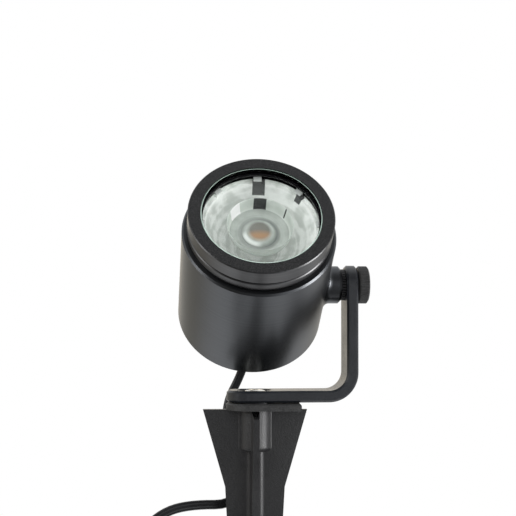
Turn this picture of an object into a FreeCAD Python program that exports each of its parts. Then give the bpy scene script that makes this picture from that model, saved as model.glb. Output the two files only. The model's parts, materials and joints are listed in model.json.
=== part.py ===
import FreeCAD, Part
import math
import os
import Sketcher

# Garden spike spotlight. Frame: millimetres, +Z up, origin on the spike's own axis at soil level,
# +X along the bracket's foot towards its arm, -Y the side that the lamp shines to.
# The lamp head's parts are drawn upright about the head's own axis, with the pivot as their origin,
# and then tilted into place together.

SIZES = [
    # lamp head, along its own axis from the pivot
    ("head_tilt", 35.0, "angle of the light beam above level, as photographed"),
    ("head_offset", -1.0, "head axis, beside the spike axis"),
    ("pivot_height", 50.8, "pivot above soil level"),
    ("housing_radius", 30.0, "outside of the turned housing"),
    ("housing_back", 20.1, "pivot to the housing's back"),
    ("housing_front", 34.3, "pivot to the housing's front rim"),
    ("housing_edge", 0.7, "broken edges of the housing"),
    ("back_thickness", 4.0, "housing wall behind the driver"),
    ("cavity_radius", 21.0, "driver cavity"),
    ("shoulder", 14.0, "pivot to the shoulder that carries the heat spreader"),
    ("bore_radius", 23.5, "bore round the optic"),
    ("spigot_radius", 25.4, "threaded spigot that the two rings sit on"),
    ("spigot_length", 7.0, "spigot beyond the rim"),
    ("boss_radius", 7.7, "pivot boss on the housing's side"),
    ("boss_root", 24.6, "head axis to where the boss starts inside the wall"),
    ("boss_edge", 1.2, "broken edge of the boss"),
    ("boss_flare", 2.4, "flare where the boss meets the housing"),
    # rings, glass and seals at the front
    ("ring_radius", 28.1, "outside of both front rings"),
    ("ring_face", 45.7, "pivot to the front ring's face"),
    ("ring_back", 39.2, "pivot to the front ring's back"),
    ("ring_edge", 0.35, "broken edges of the rings"),
    ("ring_window", 23.3, "opening of the front ring"),
    ("collar_back", 35.6, "pivot to the collar ring's back"),
    ("collar_front", 38.6, "pivot to the collar ring's front"),
    ("ring_fit", 0.15, "clearance between a ring and the spigot"),
    ("seal_section", 0.62, "section radius of the housing seal"),
    ("glass_thickness", 3.0, "front glass"),
    ("glass_recess", 0.35, "glass below the ring's face"),
    ("glass_gap", 0.1, "glass to the ring round it"),
    ("glass_edge", 0.3, "ground edge of the glass"),
    ("glass_ledge", 1.0, "width of the ledge and gasket under the glass"),
    ("gasket_thickness", 0.8, "flat gasket under the glass"),
    # optic, light source and driver
    ("optic_radius", 22.9, "flange of the moulded optic"),
    ("optic_gap", 2.65, "glass to the optic's rim"),
    ("optic_flange", 1.6, "thickness of the optic's flange"),
    ("optic_shoulder", 21.4, "optic under its flange"),
    ("optic_foot_gap", 0.1, "optic's back end above the board screws"),
    ("optic_foot", 8.0, "radius of the optic's back end"),
    ("optic_bulge", 34.0, "curve of the optic's reflecting side"),
    ("well_radius", 12.2, "well in the optic's front"),
    ("well_depth", 8.6, "depth of that well"),
    ("well_draft", 0.6, "well wider at its mouth than at its floor"),
    ("well_floor", 7.8, "radius of the lens in the well's floor"),
    ("lens_rise", 3.0, "height of that lens"),
    ("pocket_radius", 6.0, "pocket over the light source"),
    ("pocket_depth", 3.6, "depth of that pocket's side"),
    ("pocket_dome", 1.2, "rise of that pocket's domed end"),
    ("clip_count", 8, "clips that hold the optic"),
    ("clip_width", 3.2, "width of a clip"),
    ("clip_thickness", 0.9, "thickness of a clip's leg"),
    ("clip_hook", 0.8, "height of a clip's hook above the optic"),
    ("clip_nose", 0.9, "reach of a clip's hook over the optic"),
    ("clip_gap", 0.15, "clearance round a clip"),
    ("hook_gap", 0.05, "optic's rim to a clip's hook"),
    ("holder_height", 1.8, "foot ring of the optic holder"),
    ("spreader_thickness", 6.0, "heat spreader"),
    ("spreader_gap", 0.2, "heat spreader to the bore"),
    ("screw_hole_gap", 0.05, "small screw's shank to its hole in the spreader"),
    ("holder_gap", 0.5, "optic holder to the spreader's screw heads"),
    ("board_radius", 11.0, "light source's board"),
    ("board_thickness", 1.5, "light source's board"),
    ("chip_radius", 4.6, "lit face of the light source"),
    ("chip_thickness", 0.5, "lit face above the board"),
    ("chip_dam", 0.3, "sloped rim round the lit face"),
    ("screw_circle", 9.1, "board screws from the axis"),
    ("small_screw", 1.0, "shank radius of the small screws"),
    ("small_head", 1.8, "head radius of the small screws"),
    ("small_head_height", 1.0, "head height of the small screws"),
    ("small_screw_depth", 3.5, "small screws below their heads"),
    ("spreader_screw_circle", 17.6, "posts and their screws from the axis"),
    ("post_radius", 2.4, "posts that carry the driver board"),
    ("post_inset", 0.4, "posts inside their screws' circle"),
    ("driver_space", 18.4, "shoulder to the driver board's front"),
    ("driver_gap", 1.2, "driver board to the cavity's wall"),
    ("driver_thickness", 1.6, "driver board"),
    ("capacitor_radius", 4.5, "tall round component"),
    ("capacitor_height", 9.0, "tall round component"),
    ("capacitor_place", 8.5, "tall round component from the head's axis"),
    ("choke_radius", 3.6, "low round component"),
    ("choke_height", 6.5, "low round component"),
    ("converter_width", 6.5, "square component"),
    ("converter_height", 2.6, "square component"),
    # cable gland and its cord
    ("gland_hole", 6.0, "threaded hole in the housing's back"),
    ("gland_flats", 15.0, "gland's hexagon across its flats"),
    ("gland_hexagon", 3.6, "height of the gland's hexagon"),
    ("gland_thread", 5.0, "height of the gland's outer thread"),
    ("gland_thread_radius", 5.2, "radius of that thread"),
    ("cap_gap", 0.3, "gland cap to the gland's hexagon"),
    ("cap_radius", 6.9, "gland cap"),
    ("cap_straight", 4.2, "straight grip of the gland cap"),
    ("cap_height", 7.0, "gland cap"),
    ("cap_nose", 4.2, "radius of the cap's nose"),
    ("sleeve_length", 8.0, "tapered sleeve beyond the cap"),
    ("sleeve_radius", 3.0, "sleeve where it leaves the cap"),
    ("sleeve_tip", 2.1, "sleeve at its end"),
    ("cord_radius", 1.65, "round two-core lead"),
    ("cord_gap", 0.1, "lead to the bore round it"),
    # bracket, washers and clamp knob
    ("bar_width", 15.8, "flat bar of the bracket"),
    ("bar_thickness", 4.7, "flat bar of the bracket"),
    ("bar_edge", 0.8, "broken edges of the bar"),
    ("bar_end_flat", 0.1, "flat left between the rounded corners of the bar's ends"),
    ("bend_inside", 7.3, "inside of the bracket's bend"),
    ("arm_inside", 36.8, "spike axis to the arm's inner face"),
    ("foot_level", 3.15, "soil level to the foot's underside"),
    ("foot_reach", 11.6, "spike axis to the foot's free end"),
    ("recess_radius", 6.6, "recess round the foot screw"),
    ("recess_depth", 2.6, "recess round the foot screw"),
    ("turn_gap", 0.3, "clearance round what turns in the bracket's holes"),
    ("stud_radius", 2.5, "clamp knob's stud"),
    ("stud_fit", 0.05, "stud in the boss's thread"),
    ("stud_depth", 8.0, "stud inside the boss"),
    ("lock_thickness", 1.7, "toothed washer between boss and arm"),
    ("lock_radius", 6.4, "toothed washer"),
    ("lock_teeth", 36, "teeth on the washer's rim"),
    ("lock_tooth_depth", 0.45, "depth of those teeth"),
    ("knob_washer_radius", 5.4, "washer under the knob"),
    ("knob_washer_thickness", 0.6, "washer under the knob"),
    ("knob_radius", 7.7, "clamp knob"),
    ("knob_thickness", 4.4, "clamp knob at its rim"),
    ("knob_crown", 0.6, "rise of the knob's crowned face"),
    ("knob_round", 0.6, "broken edge of the knob's face"),
    ("knob_face", 6.9, "radius where the crowned face starts"),
    ("knob_flutes", 48, "grip flutes round the knob"),
    ("flute_radius", 0.36, "radius of a grip flute"),
    ("flute_inset", 0.2, "depth of a grip flute"),
    ("stud_grip", 1.5, "stud inside the knob"),
    ("stud_point", 0.6, "tapered end of the stud"),
    ("stud_hole_end", 1.0, "thread in the boss beyond the stud"),
    ("foot_screw_radius", 2.5, "foot screw's shank"),
    ("foot_screw_head", 5.0, "foot screw's head"),
    ("foot_screw_rise", 1.9, "height of that head"),
    ("foot_screw_edge", 0.6, "straight rim of that head"),
    ("foot_screw_flat", 0.9, "flat round that head's socket"),
    ("foot_screw_length", 17.5, "foot screw under its head"),
    ("hex_flats", 3.0, "hexagon socket across its flats"),
    ("hex_depth", 1.4, "hexagon socket"),
    ("screw_washer_radius", 6.0, "washer under the foot screw's head"),
    ("screw_washer_thickness", 0.8, "washer under the foot screw's head"),
    ("screw_gap", 0.2, "foot screw's shank to the holes it passes"),
    # base plate and spike
    ("plate_thickness", 2.75, "base plate on the spike"),
    ("plate_half_width", 10.6, "base plate, half of its depth"),
    ("plate_left", 11.8, "spike axis to the plate's round end"),
    ("plate_right", 18.4, "spike axis to the plate's square end"),
    ("plate_edge", 0.5, "broken edges of the plate"),
    ("plate_spigot", 5.1, "radius of the plate's spigot in the socket"),
    ("plate_spigot_length", 4.0, "length of that spigot"),
    ("socket_gap", 0.15, "spigot to the socket's wall"),
    ("slip_radius", 7.4, "thin washer between plate and foot"),
    ("spike_yaw", -3.4, "spike turned against the bracket"),
    ("spike_length", 190.0, "soil level to the spike's point"),
    ("spike_top", 21.2, "half-width of the fins at the top"),
    ("spike_waist", 12.1, "half-width of the fins at the waist"),
    ("waist_depth", 31.2, "soil level to the waist"),
    ("point_length", 24.0, "length of the sharpened point"),
    ("point_width", 4.6, "half-width where the point starts"),
    ("tip_width", 0.8, "half-width of the blunt tip"),
    ("fin_edge", 1.1, "half-thickness of a fin at its edge"),
    ("fin_root", 1.7, "half-thickness of a fin at its root"),
    ("fin_fillet", 2.2, "fillet between two fins"),
    ("socket_outer", 6.6, "socket tube"),
    ("socket_depth", 16.6, "socket tube below the fins' top"),
    ("socket_round", 1.5, "rounded foot of the socket tube"),
    ("socket_fillet", 0.6, "fillet between the socket tube and the fins"),
    ("notch_width", 3.4, "notch in the front and back of the socket tube, at its top"),
    ("notch_floor", 1.7, "width of that notch's floor"),
    ("notch_depth", 2.3, "depth of that notch"),
    ("insert_flats", 8.0, "threaded insert across its flats"),
    ("insert_depth", 10.0, "threaded insert"),
    ("insert_gap", 0.2, "clearance above and below the insert"),
    ("insert_fit", 0.02, "foot screw in the insert's thread"),
    # plug
    ("plug_length", 22.0, "plug without its pins"),
    ("plug_neck", 3.1, "strain relief where it leaves the plug"),
    ("plug_neck_length", 11.0, "strain relief"),
    ("plug_neck_tip", 2.3, "strain relief's end"),
    ("plug_edge", 0.8, "broken edge of the plug"),
    ("plug_shoulder", 3.0, "tapered shoulder of the plug"),
    ("plug_shoulder_drop", 1.6, "how much that shoulder narrows"),
    ("pin_radius", 1.25, "plug pin"),
    ("pin_length", 9.0, "plug pin beyond the plug's face"),
    ("pin_spacing", 6.4, "distance between the pins"),
    # coil of the lead that is put away, and its tie
    ("coil_outer", 25.5, "centre line of the outermost turn"),
    ("coil_pitch", 4.4, "from one turn or layer to the next"),
    ("coil_x", -72.2, "coil's centre"),
    ("coil_y", 22.0, "coil's centre"),
    ("tie_thickness", 0.6, "strap round the coil"),
    ("tie_width", 5.0, "strap round the coil"),
    ("tie_gap", 0.6, "strap to the turns beside it"),
    ("tie_slack", 0.1, "strap to the turns that lie on it"),
    ("tie_top_gap", 0.3, "strap above the turns"),
]

HALF_TURNS_IN = 6       # half turns of the coil's lower layer, spiralling inwards
HALF_TURNS_OUT = 6      # half turns of its upper layer, spiralling outwards

# Route of the hanging lead. It leaves the gland's sleeve along the head's axis, and its stretches
# meet halfway along the runs between them. The last one lands beside the coil.
SLEEVE_RUN = 12.0
LANDING_RUN = 13.0
UPPER_ROUTE = [(-0.6, 45.6, 14.0)]
MIDDLE_ROUTE = [(-8.0, 47.2, -0.5), (-9.2, 41.0, -12.5)]
LOWER_ROUTE = [(-9.4, 22.4, -22.0), (-6.0, 13.2, -31.0), (-12.2, 7.8, -39.7), (-24.4, 3.8, -38.3),
               (-35.8, 0.7, -40.3), (-44.8, -2.0, -47.2), (-50.2, -5.0, -58.6), (-52.2, -8.6, -76.0),
               (-52.2, -12.8, -101.0), (-49.4, -18.8, -127.0), (-47.6, -20.4, -151.0),
               (-46.7, -17.6, -170.0), (-46.7, -8.0, -183.2)]


class Dim:
    """A size that knows both its number and the spreadsheet formula that gives it."""

    def __init__(self, value, text):
        self.value = value
        self.text = text

    def __add__(self, other):
        other = as_dim(other)
        return Dim(self.value + other.value, f"({self.text} + {other.text})")

    def __sub__(self, other):
        other = as_dim(other)
        return Dim(self.value - other.value, f"({self.text} - {other.text})")

    def __mul__(self, other):
        other = as_dim(other)
        return Dim(self.value * other.value, f"({self.text} * {other.text})")

    def __truediv__(self, other):
        other = as_dim(other)
        return Dim(self.value / other.value, f"({self.text} / {other.text})")

    def __neg__(self):
        return Dim(-self.value, f"(0 - {self.text})")


def as_dim(number):
    return number if isinstance(number, Dim) else Dim(number, str(number))


ZERO = Dim(0, "0")

doc = FreeCAD.newDocument("garden_spike_spotlight")
sheet = doc.addObject("Spreadsheet::Sheet", "Sizes")


class Sheet:
    """The driving sizes by name, each bound to its own spreadsheet cell."""


size = Sheet()
for row, (name, number, meaning) in enumerate(SIZES, start=1):
    sheet.set(f"A{row}", meaning)
    sheet.set(f"B{row}", str(number))
    sheet.setAlias(f"B{row}", name)
    setattr(size, name, Dim(number, f"Sizes.{name}"))
doc.recompute()

parts = []      # every sub-part, in the order it is made


# ---- helpers for sketches and features ----

def bind(feature, **sizes):
    for name, dim in sizes.items():
        feature.setExpression(name, as_dim(dim).text)


def new_body(label):
    body = doc.addObject("PartDesign::Body", label)
    body.Label = label
    parts.append(body)
    return body


def sketch_on(body, plane, offset=None):
    """A sketch on one of the body's own origin planes, or parallel to it."""
    sketch = body.newObject("Sketcher::SketchObject", body.Label + "_sketch")
    origin_plane = [item for item in body.Origin.OriginFeatures if item.Role == plane][0]
    sketch.AttachmentSupport = [(origin_plane, "")]
    sketch.MapMode = "FlatFace"
    if offset is not None:
        sketch.setExpression("AttachmentOffset.Base.z", as_dim(offset).text)
    return sketch


def hold(sketch, geometry, vertex, across, up):
    """Fixes a vertex by its two distances from the sketch's origin."""
    for kind, axis, dim in (("DistanceX", -2, across), ("DistanceY", -1, up)):
        if dim is ZERO:
            sketch.addConstraint(Sketcher.Constraint("PointOnObject", geometry, vertex, axis))
        else:
            number = sketch.addConstraint(
                Sketcher.Constraint(kind, -1, 1, geometry, vertex, dim.value))
            sketch.setExpression(f"Constraints[{number}]", dim.text)


def add_arc(sketch, start, end, radius, turn):
    """An arc of under a half circle. turn is 1 where it runs anticlockwise and -1 where clockwise."""
    chord = end - start
    left = FreeCAD.Vector(-chord.y, chord.x, 0) / chord.Length
    rise = math.sqrt(max(radius ** 2 - (chord.Length / 2) ** 2, 0))
    centre = (start + end) / 2 + left * rise * turn
    first, last = (start, end) if turn > 0 else (end, start)
    angles = [math.atan2(point.y - centre.y, point.x - centre.x) for point in (first, last)]
    if angles[1] < angles[0]:
        angles[1] += 2 * math.pi
    circle = Part.Circle(centre, FreeCAD.Vector(0, 0, 1), radius)
    return sketch.addGeometry(Part.ArcOfCircle(circle, *angles), False)


def outline(sketch, points):
    """Closed outline through points (across, up). (across, up, radius, turn) starts an arc."""
    points = [(as_dim(point[0]), as_dim(point[1])) + tuple(point[2:]) for point in points]
    ends = []
    for index, point in enumerate(points):
        following = points[(index + 1) % len(points)]
        start = FreeCAD.Vector(point[0].value, point[1].value, 0)
        end = FreeCAD.Vector(following[0].value, following[1].value, 0)
        if len(point) == 2:
            geometry = sketch.addGeometry(Part.LineSegment(start, end), False)
            ends.append((geometry, 1, 2))
        else:
            radius, turn = as_dim(point[2]), point[3]
            geometry = add_arc(sketch, start, end, radius.value, turn)
            ends.append((geometry, 1, 2) if turn > 0 else (geometry, 2, 1))
    for index, (geometry, _, last) in enumerate(ends):
        following, its_first, _ = ends[(index + 1) % len(ends)]
        sketch.addConstraint(
            Sketcher.Constraint("Coincident", geometry, last, following, its_first))
    for point, (geometry, first, _) in zip(points, ends):
        hold(sketch, geometry, first, point[0], point[1])
        if len(point) == 4:
            radius = as_dim(point[2])
            number = sketch.addConstraint(Sketcher.Constraint("Radius", geometry, radius.value))
            sketch.setExpression(f"Constraints[{number}]", radius.text)


def circles(sketch, radius, centres):
    """Circles of one bound radius about the given (across, up) centres."""
    radius = as_dim(radius)
    for across, up in centres:
        across, up = as_dim(across), as_dim(up)
        centre = FreeCAD.Vector(across.value, up.value, 0)
        geometry = sketch.addGeometry(
            Part.Circle(centre, FreeCAD.Vector(0, 0, 1), radius.value), False)
        hold(sketch, geometry, 3, across, up)
        number = sketch.addConstraint(Sketcher.Constraint("Radius", geometry, radius.value))
        sketch.setExpression(f"Constraints[{number}]", radius.text)


def rectangle(sketch, left, bottom, right, top):
    outline(sketch, [(left, bottom), (right, bottom), (right, top), (left, top)])


def hexagon(sketch, flats):
    """Regular hexagon about the origin, two of its flats level."""
    corner = flats / math.sqrt(3)
    half = flats / 2
    outline(sketch, [(corner, ZERO), (corner / 2, half), (-corner / 2, half),
                     (-corner, ZERO), (-corner / 2, -half), (corner / 2, -half)])


def pad(body, sketch, length, both_ways=False, backwards=False):
    feature = body.newObject("PartDesign::Pad", body.Label + "_pad")
    feature.Profile = sketch
    bind(feature, Length=length)
    feature.Midplane = both_ways
    feature.Reversed = backwards
    doc.recompute()
    return feature


def pocket(body, sketch, length, both_ways=False, backwards=False):
    """Cuts the sketch out, and stops the build where it cuts nothing."""
    before = body.Shape.Volume
    feature = body.newObject("PartDesign::Pocket", body.Label + "_pocket")
    feature.Profile = sketch
    bind(feature, Length=length)
    feature.Midplane = both_ways
    feature.Reversed = backwards
    doc.recompute()
    if body.Shape.Volume > before - 1e-6:
        raise RuntimeError(f"a pocket of {body.Label} cuts nothing")
    return feature


def revolve(body, sketch):
    feature = body.newObject("PartDesign::Revolution", body.Label + "_turned")
    feature.Profile = sketch
    feature.ReferenceAxis = (sketch, ["V_Axis"])
    feature.Angle = 360
    doc.recompute()
    return feature


def turned(label, profile):
    """A body turned about its own Z axis from (radius, height) points."""
    body = new_body(label)
    sketch = sketch_on(body, "XZ_Plane")
    outline(sketch, profile)
    revolve(body, sketch)
    return body


def ring(label, inner, outer, low, high):
    return turned(label, [(inner, low), (outer, low), (outer, high), (inner, high)])


def repeat(body, feature, count):
    """Copies one feature evenly about the body's own Z axis."""
    pattern = body.newObject("PartDesign::PolarPattern", body.Label + "_pattern")
    pattern.Originals = [feature]
    z_axis = [item for item in body.Origin.OriginFeatures if item.Role == "Z_Axis"][0]
    pattern.Axis = (z_axis, [""])
    pattern.Angle = 360
    bind(pattern, Occurrences=count)
    body.Tip = pattern
    doc.recompute()
    return pattern


def edge_names(feature, wanted):
    return [f"Edge{number}" for number, edge in enumerate(feature.Shape.Edges, start=1)
            if wanted(edge)]


def dress(body, kind, base, amount, wanted):
    """A fillet or a chamfer on the wanted edges of a feature."""
    names = edge_names(base, wanted)
    if not names:
        raise RuntimeError(f"{body.Label} has no edge to dress")
    feature = body.newObject(f"PartDesign::{kind}", f"{body.Label}_{kind.lower()}")
    feature.Base = (base, names)
    if kind == "Fillet":
        bind(feature, Radius=amount)
    else:
        bind(feature, Size=amount)
    doc.recompute()
    return feature


def place(item, x=ZERO, y=ZERO, z=ZERO, axis=None, angle=ZERO):
    """Puts a part in the lamp's frame: turned about axis, then moved."""
    x, y, z, angle = (as_dim(dim) for dim in (x, y, z, angle))
    axis = axis or FreeCAD.Vector(0, 0, 1)
    item.Placement = FreeCAD.Placement(
        FreeCAD.Vector(x.value, y.value, z.value), FreeCAD.Rotation(axis, angle.value))
    for path, dim in (("Base.x", x), ("Base.y", y), ("Base.z", z), ("Rotation.Angle", angle)):
        if dim is not ZERO:
            item.setExpression(f"Placement.{path}", dim.text)


X_WAY = FreeCAD.Vector(1, 0, 0)
Y_WAY = FreeCAD.Vector(0, 1, 0)
Z_WAY = FreeCAD.Vector(0, 0, 1)


def on_head(body):
    """The head's own Z axis is the beam, its X axis the pivot."""
    place(body, x=size.head_offset, z=size.pivot_height,
          axis=X_WAY, angle=as_dim(90) - size.head_tilt)


def on_pivot(body, x):
    """A turned part whose own Z axis lies along the pivot, starting at x."""
    place(body, x=x, z=size.pivot_height, axis=Y_WAY, angle=as_dim(90))


TOLERANCE = 1e-3        # for finding edges by their place


def is_circle(edge, radius):
    return isinstance(edge.Curve, Part.Circle) and abs(edge.Curve.Radius - radius) < TOLERANCE


# ---- lamp head ----

ARM_OUTSIDE = size.arm_inside + size.bar_thickness
BOSS_FACE = size.arm_inside - size.lock_thickness       # in the lamp's frame
BOSS_REACH = BOSS_FACE - size.head_offset               # from the head's axis
SPIGOT_END = size.housing_front + size.spigot_length
GLASS_BACK = size.ring_face - size.glass_recess - size.glass_thickness
OPTIC_RIM = GLASS_BACK - size.optic_gap
SPREADER_TOP = size.shoulder + size.spreader_thickness
BOARD_TOP = SPREADER_TOP + size.board_thickness


def make_housing():
    """Turned cup with a threaded spigot, a shoulder for the heat spreader and the pivot boss."""
    back = -size.housing_back
    inner_back = back + size.back_thickness
    radius, edge = size.housing_radius, size.housing_edge
    body = turned("housing", [
        (size.gland_hole, back), (radius - edge, back), (radius, back + edge),
        (radius, size.housing_front - edge), (radius - edge, size.housing_front),
        (size.spigot_radius, size.housing_front),
        (size.spigot_radius, SPIGOT_END - edge), (size.spigot_radius - edge, SPIGOT_END),
        (size.bore_radius, SPIGOT_END), (size.bore_radius, size.shoulder),
        (size.cavity_radius, size.shoulder), (size.cavity_radius, inner_back),
        (size.gland_hole, inner_back)])
    boss = sketch_on(body, "YZ_Plane", offset=size.boss_root)
    circles(boss, size.boss_radius, [(ZERO, ZERO)])
    solid = pad(body, boss, BOSS_REACH - size.boss_root)

    def leaves_housing(edge):
        """The saddle-shaped edge where the boss leaves the housing."""
        first, last = edge.FirstParameter, edge.LastParameter
        places = [edge.valueAt(first + (last - first) * share) for share in (0.2, 0.4, 0.7)]
        round_boss = all(abs(math.hypot(place.y, place.z) - size.boss_radius.value) < TOLERANCE
                         for place in places)
        return round_boss and edge.BoundBox.XMax < size.housing_radius.value + TOLERANCE

    solid = dress(body, "Fillet", solid, size.boss_flare, leaves_housing)
    face = BOSS_REACH.value
    solid = dress(body, "Chamfer", solid, size.boss_edge,
                  lambda edge: is_circle(edge, size.boss_radius.value)
                  and abs(edge.BoundBox.XMin - face) < TOLERANCE)
    thread = sketch_on(body, "YZ_Plane", offset=BOSS_REACH)
    circles(thread, size.stud_radius + size.stud_fit, [(ZERO, ZERO)])
    pocket(body, thread, size.stud_depth + size.stud_hole_end)
    on_head(body)


def make_rings():
    """Front ring round the glass, the collar ring behind it and the seals."""
    radius, edge = size.ring_radius, size.ring_edge
    bore = size.spigot_radius + size.ring_fit
    face, back = size.ring_face, size.ring_back
    ledge_front = GLASS_BACK - size.gasket_thickness
    ledge_inside = size.ring_window - size.glass_ledge
    body = turned("front_ring", [
        (bore, back), (radius - edge, back), (radius, back + edge),
        (radius, face - edge), (radius - edge, face),
        (size.ring_window, face), (size.ring_window, ledge_front),
        (ledge_inside, ledge_front), (ledge_inside, SPIGOT_END + size.ring_fit),
        (bore, SPIGOT_END + size.ring_fit)])
    on_head(body)
    body = ring("glass_gasket", ledge_inside, size.ring_window - size.glass_gap,
                ledge_front, GLASS_BACK)
    on_head(body)
    outer, ground = size.ring_window - size.glass_gap, size.glass_edge
    glass_front = face - size.glass_recess
    body = turned("front_glass", [
        (ZERO, GLASS_BACK), (outer - ground, GLASS_BACK), (outer, GLASS_BACK + ground),
        (outer, glass_front - ground), (outer - ground, glass_front), (ZERO, glass_front)])
    on_head(body)
    body = turned("collar_ring", [
        (bore, size.collar_back), (radius - edge, size.collar_back),
        (radius, size.collar_back + edge), (radius, size.collar_front - edge),
        (radius - edge, size.collar_front), (bore, size.collar_front)])
    on_head(body)
    section = size.seal_section
    seal_level = (size.housing_front + size.collar_back) / 2
    body = new_body("housing_seal")
    sketch = sketch_on(body, "XZ_Plane")
    circles(sketch, section, [(radius - section - edge, seal_level)])
    revolve(body, sketch)
    on_head(body)


def dome_radius(half_width, rise):
    """Radius of a round cap of this half-width and rise."""
    return (half_width * half_width + rise * rise) / (rise * 2)


def make_optic():
    """Clear moulded optic: a flared reflecting side, a well in its front and a lens in its floor."""
    rim = OPTIC_RIM
    bottom = BOARD_TOP + size.small_head_height + size.optic_foot_gap
    under_flange = rim - size.optic_flange
    well_floor = rim - size.well_depth
    pocket_top = bottom + size.pocket_depth
    body = turned("optic", [
        (size.pocket_radius, bottom), (size.optic_foot, bottom, size.optic_bulge, 1),
        (size.optic_shoulder, under_flange), (size.optic_radius, under_flange),
        (size.optic_radius, rim), (size.well_radius + size.well_draft, rim),
        (size.well_radius, well_floor),
        (size.well_floor, well_floor, dome_radius(size.well_floor, size.lens_rise), 1),
        (ZERO, well_floor + size.lens_rise),
        (ZERO, pocket_top + size.pocket_dome,
         dome_radius(size.pocket_radius, size.pocket_dome), -1),
        (size.pocket_radius, pocket_top)])
    notch = sketch_on(body, "XY_Plane", offset=rim)
    half = size.clip_width / 2 + size.clip_gap
    rectangle(notch, size.optic_shoulder + size.clip_gap, -half, size.optic_radius * 1.1, half)
    cut = pocket(body, notch, size.optic_flange)
    repeat(body, cut, size.clip_count)
    on_head(body)


def make_optic_holder():
    """Foot ring round the light source, with hooked legs that reach over the optic's rim."""
    ring_top = SPREADER_TOP + size.holder_height
    outer = size.optic_radius + size.clip_gap
    inner = size.spreader_screw_circle + size.small_head + size.holder_gap
    root = ring_top - size.holder_height / 4
    body = ring("optic_holder", inner, outer, SPREADER_TOP, ring_top)
    leg = sketch_on(body, "XZ_Plane")
    hook_level = OPTIC_RIM + size.hook_gap
    outline(leg, [
        (outer - size.clip_thickness, root), (outer, root),
        (outer, hook_level + size.clip_hook),
        (outer - size.clip_thickness - size.clip_nose, hook_level),
        (outer - size.clip_thickness, hook_level)])
    legs = pad(body, leg, size.clip_width, both_ways=True)
    repeat(body, legs, size.clip_count)
    on_head(body)


def make_light_source():
    """Heat spreader, the light source's board and lit face, and their screws."""
    top, board_top = SPREADER_TOP, BOARD_TOP
    beside = [(size.screw_circle, ZERO), (-size.screw_circle, ZERO)]
    around = [angle_point(size.spreader_screw_circle, step / 3) for step in range(3)]
    body = turned("heat_spreader", [
        (ZERO, size.shoulder), (size.bore_radius - size.spreader_gap, size.shoulder),
        (size.bore_radius - size.spreader_gap, top), (ZERO, top)])
    holes = sketch_on(body, "XY_Plane", offset=top)
    circles(holes, size.small_screw + size.screw_hole_gap, around)
    pocket(body, holes, size.spreader_thickness)
    taps = sketch_on(body, "XY_Plane", offset=top)
    circles(taps, size.small_screw, beside)
    pocket(body, taps, size.small_screw_depth - size.board_thickness)
    on_head(body)

    body = turned("led_board", [
        (ZERO, top), (size.board_radius, top), (size.board_radius, board_top), (ZERO, board_top)])
    holes = sketch_on(body, "XY_Plane", offset=board_top)
    circles(holes, size.small_screw, beside)
    pocket(body, holes, size.board_thickness)
    on_head(body)

    chip_top = board_top + size.chip_thickness
    body = turned("led_chip", [
        (ZERO, board_top), (size.chip_radius, board_top),
        (size.chip_radius, chip_top - size.chip_dam / 2),
        (size.chip_radius - size.chip_dam, chip_top), (ZERO, chip_top)])
    on_head(body)
    small_screws("board_screws", beside, board_top)
    small_screws("spreader_screws", around, top)


def angle_point(radius, turn):
    """The point at this share of a turn on a circle about the origin, as two sizes."""
    across = math.cos(2 * math.pi * turn)
    up = math.sin(2 * math.pi * turn)
    return (radius * round(across, 9), radius * round(up, 9))


def small_screws(label, places, level):
    """Pan-head screws, heads standing on a face at this level of the head."""
    screws = []
    for number, (across, up) in enumerate(places):
        shank = doc.addObject("Part::Cylinder", f"{label}_shank")
        bind(shank, Radius=size.small_screw, Height=size.small_screw_depth)
        head = doc.addObject("Part::Cylinder", f"{label}_head")
        bind(head, Radius=size.small_head, Height=size.small_head_height)
        place(shank, across, up, level - size.small_screw_depth)
        place(head, across, up, level)
        screw = doc.addObject("Part::Fuse", f"{label}_{number}")
        screw.Base = shank
        screw.Tool = head
        screws.append(screw)
    group = doc.addObject("Part::Compound", label)
    group.Label = label
    group.Links = screws
    parts.append(group)
    on_head(group)


def make_driver():
    """Posts under the heat spreader, the driver board that they carry and its components."""
    top = size.shoulder - size.driver_space
    body = new_body("board_posts")
    sketch = sketch_on(body, "XY_Plane", offset=top)
    circles(sketch, size.post_radius,
            [angle_point(size.spreader_screw_circle - size.post_inset, step / 3)
             for step in range(3)])
    body.AllowCompound = True
    pad(body, sketch, size.driver_space)
    on_head(body)

    radius, back = size.cavity_radius - size.driver_gap, top - size.driver_thickness
    body = turned("driver_board", [(ZERO, back), (radius, back), (radius, top), (ZERO, top)])
    on_head(body)

    group = []
    for kind, radius, height, turn in (
            ("capacitor", size.capacitor_radius, size.capacitor_height, 1 / 6),
            ("choke", size.choke_radius, size.choke_height, 1 / 2)):
        item = doc.addObject("Part::Cylinder", kind)
        bind(item, Radius=radius, Height=height)
        place(item, *angle_point(size.capacitor_place, turn), top)
        group.append(item)
    width = size.converter_width
    converter = doc.addObject("Part::Box", "converter")
    bind(converter, Length=width, Width=width, Height=size.converter_height)
    place(converter, -width / 2, -size.capacitor_place - width / 2, top)
    group.append(converter)
    compound = doc.addObject("Part::Compound", "driver_components")
    compound.Label = "driver_components"
    compound.Links = group
    parts.append(compound)
    on_head(compound)


GLAND_BACK = -size.housing_back - size.gland_hexagon
CAP_BACK = GLAND_BACK - size.cap_height
SLEEVE_END = CAP_BACK - size.sleeve_length


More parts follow.
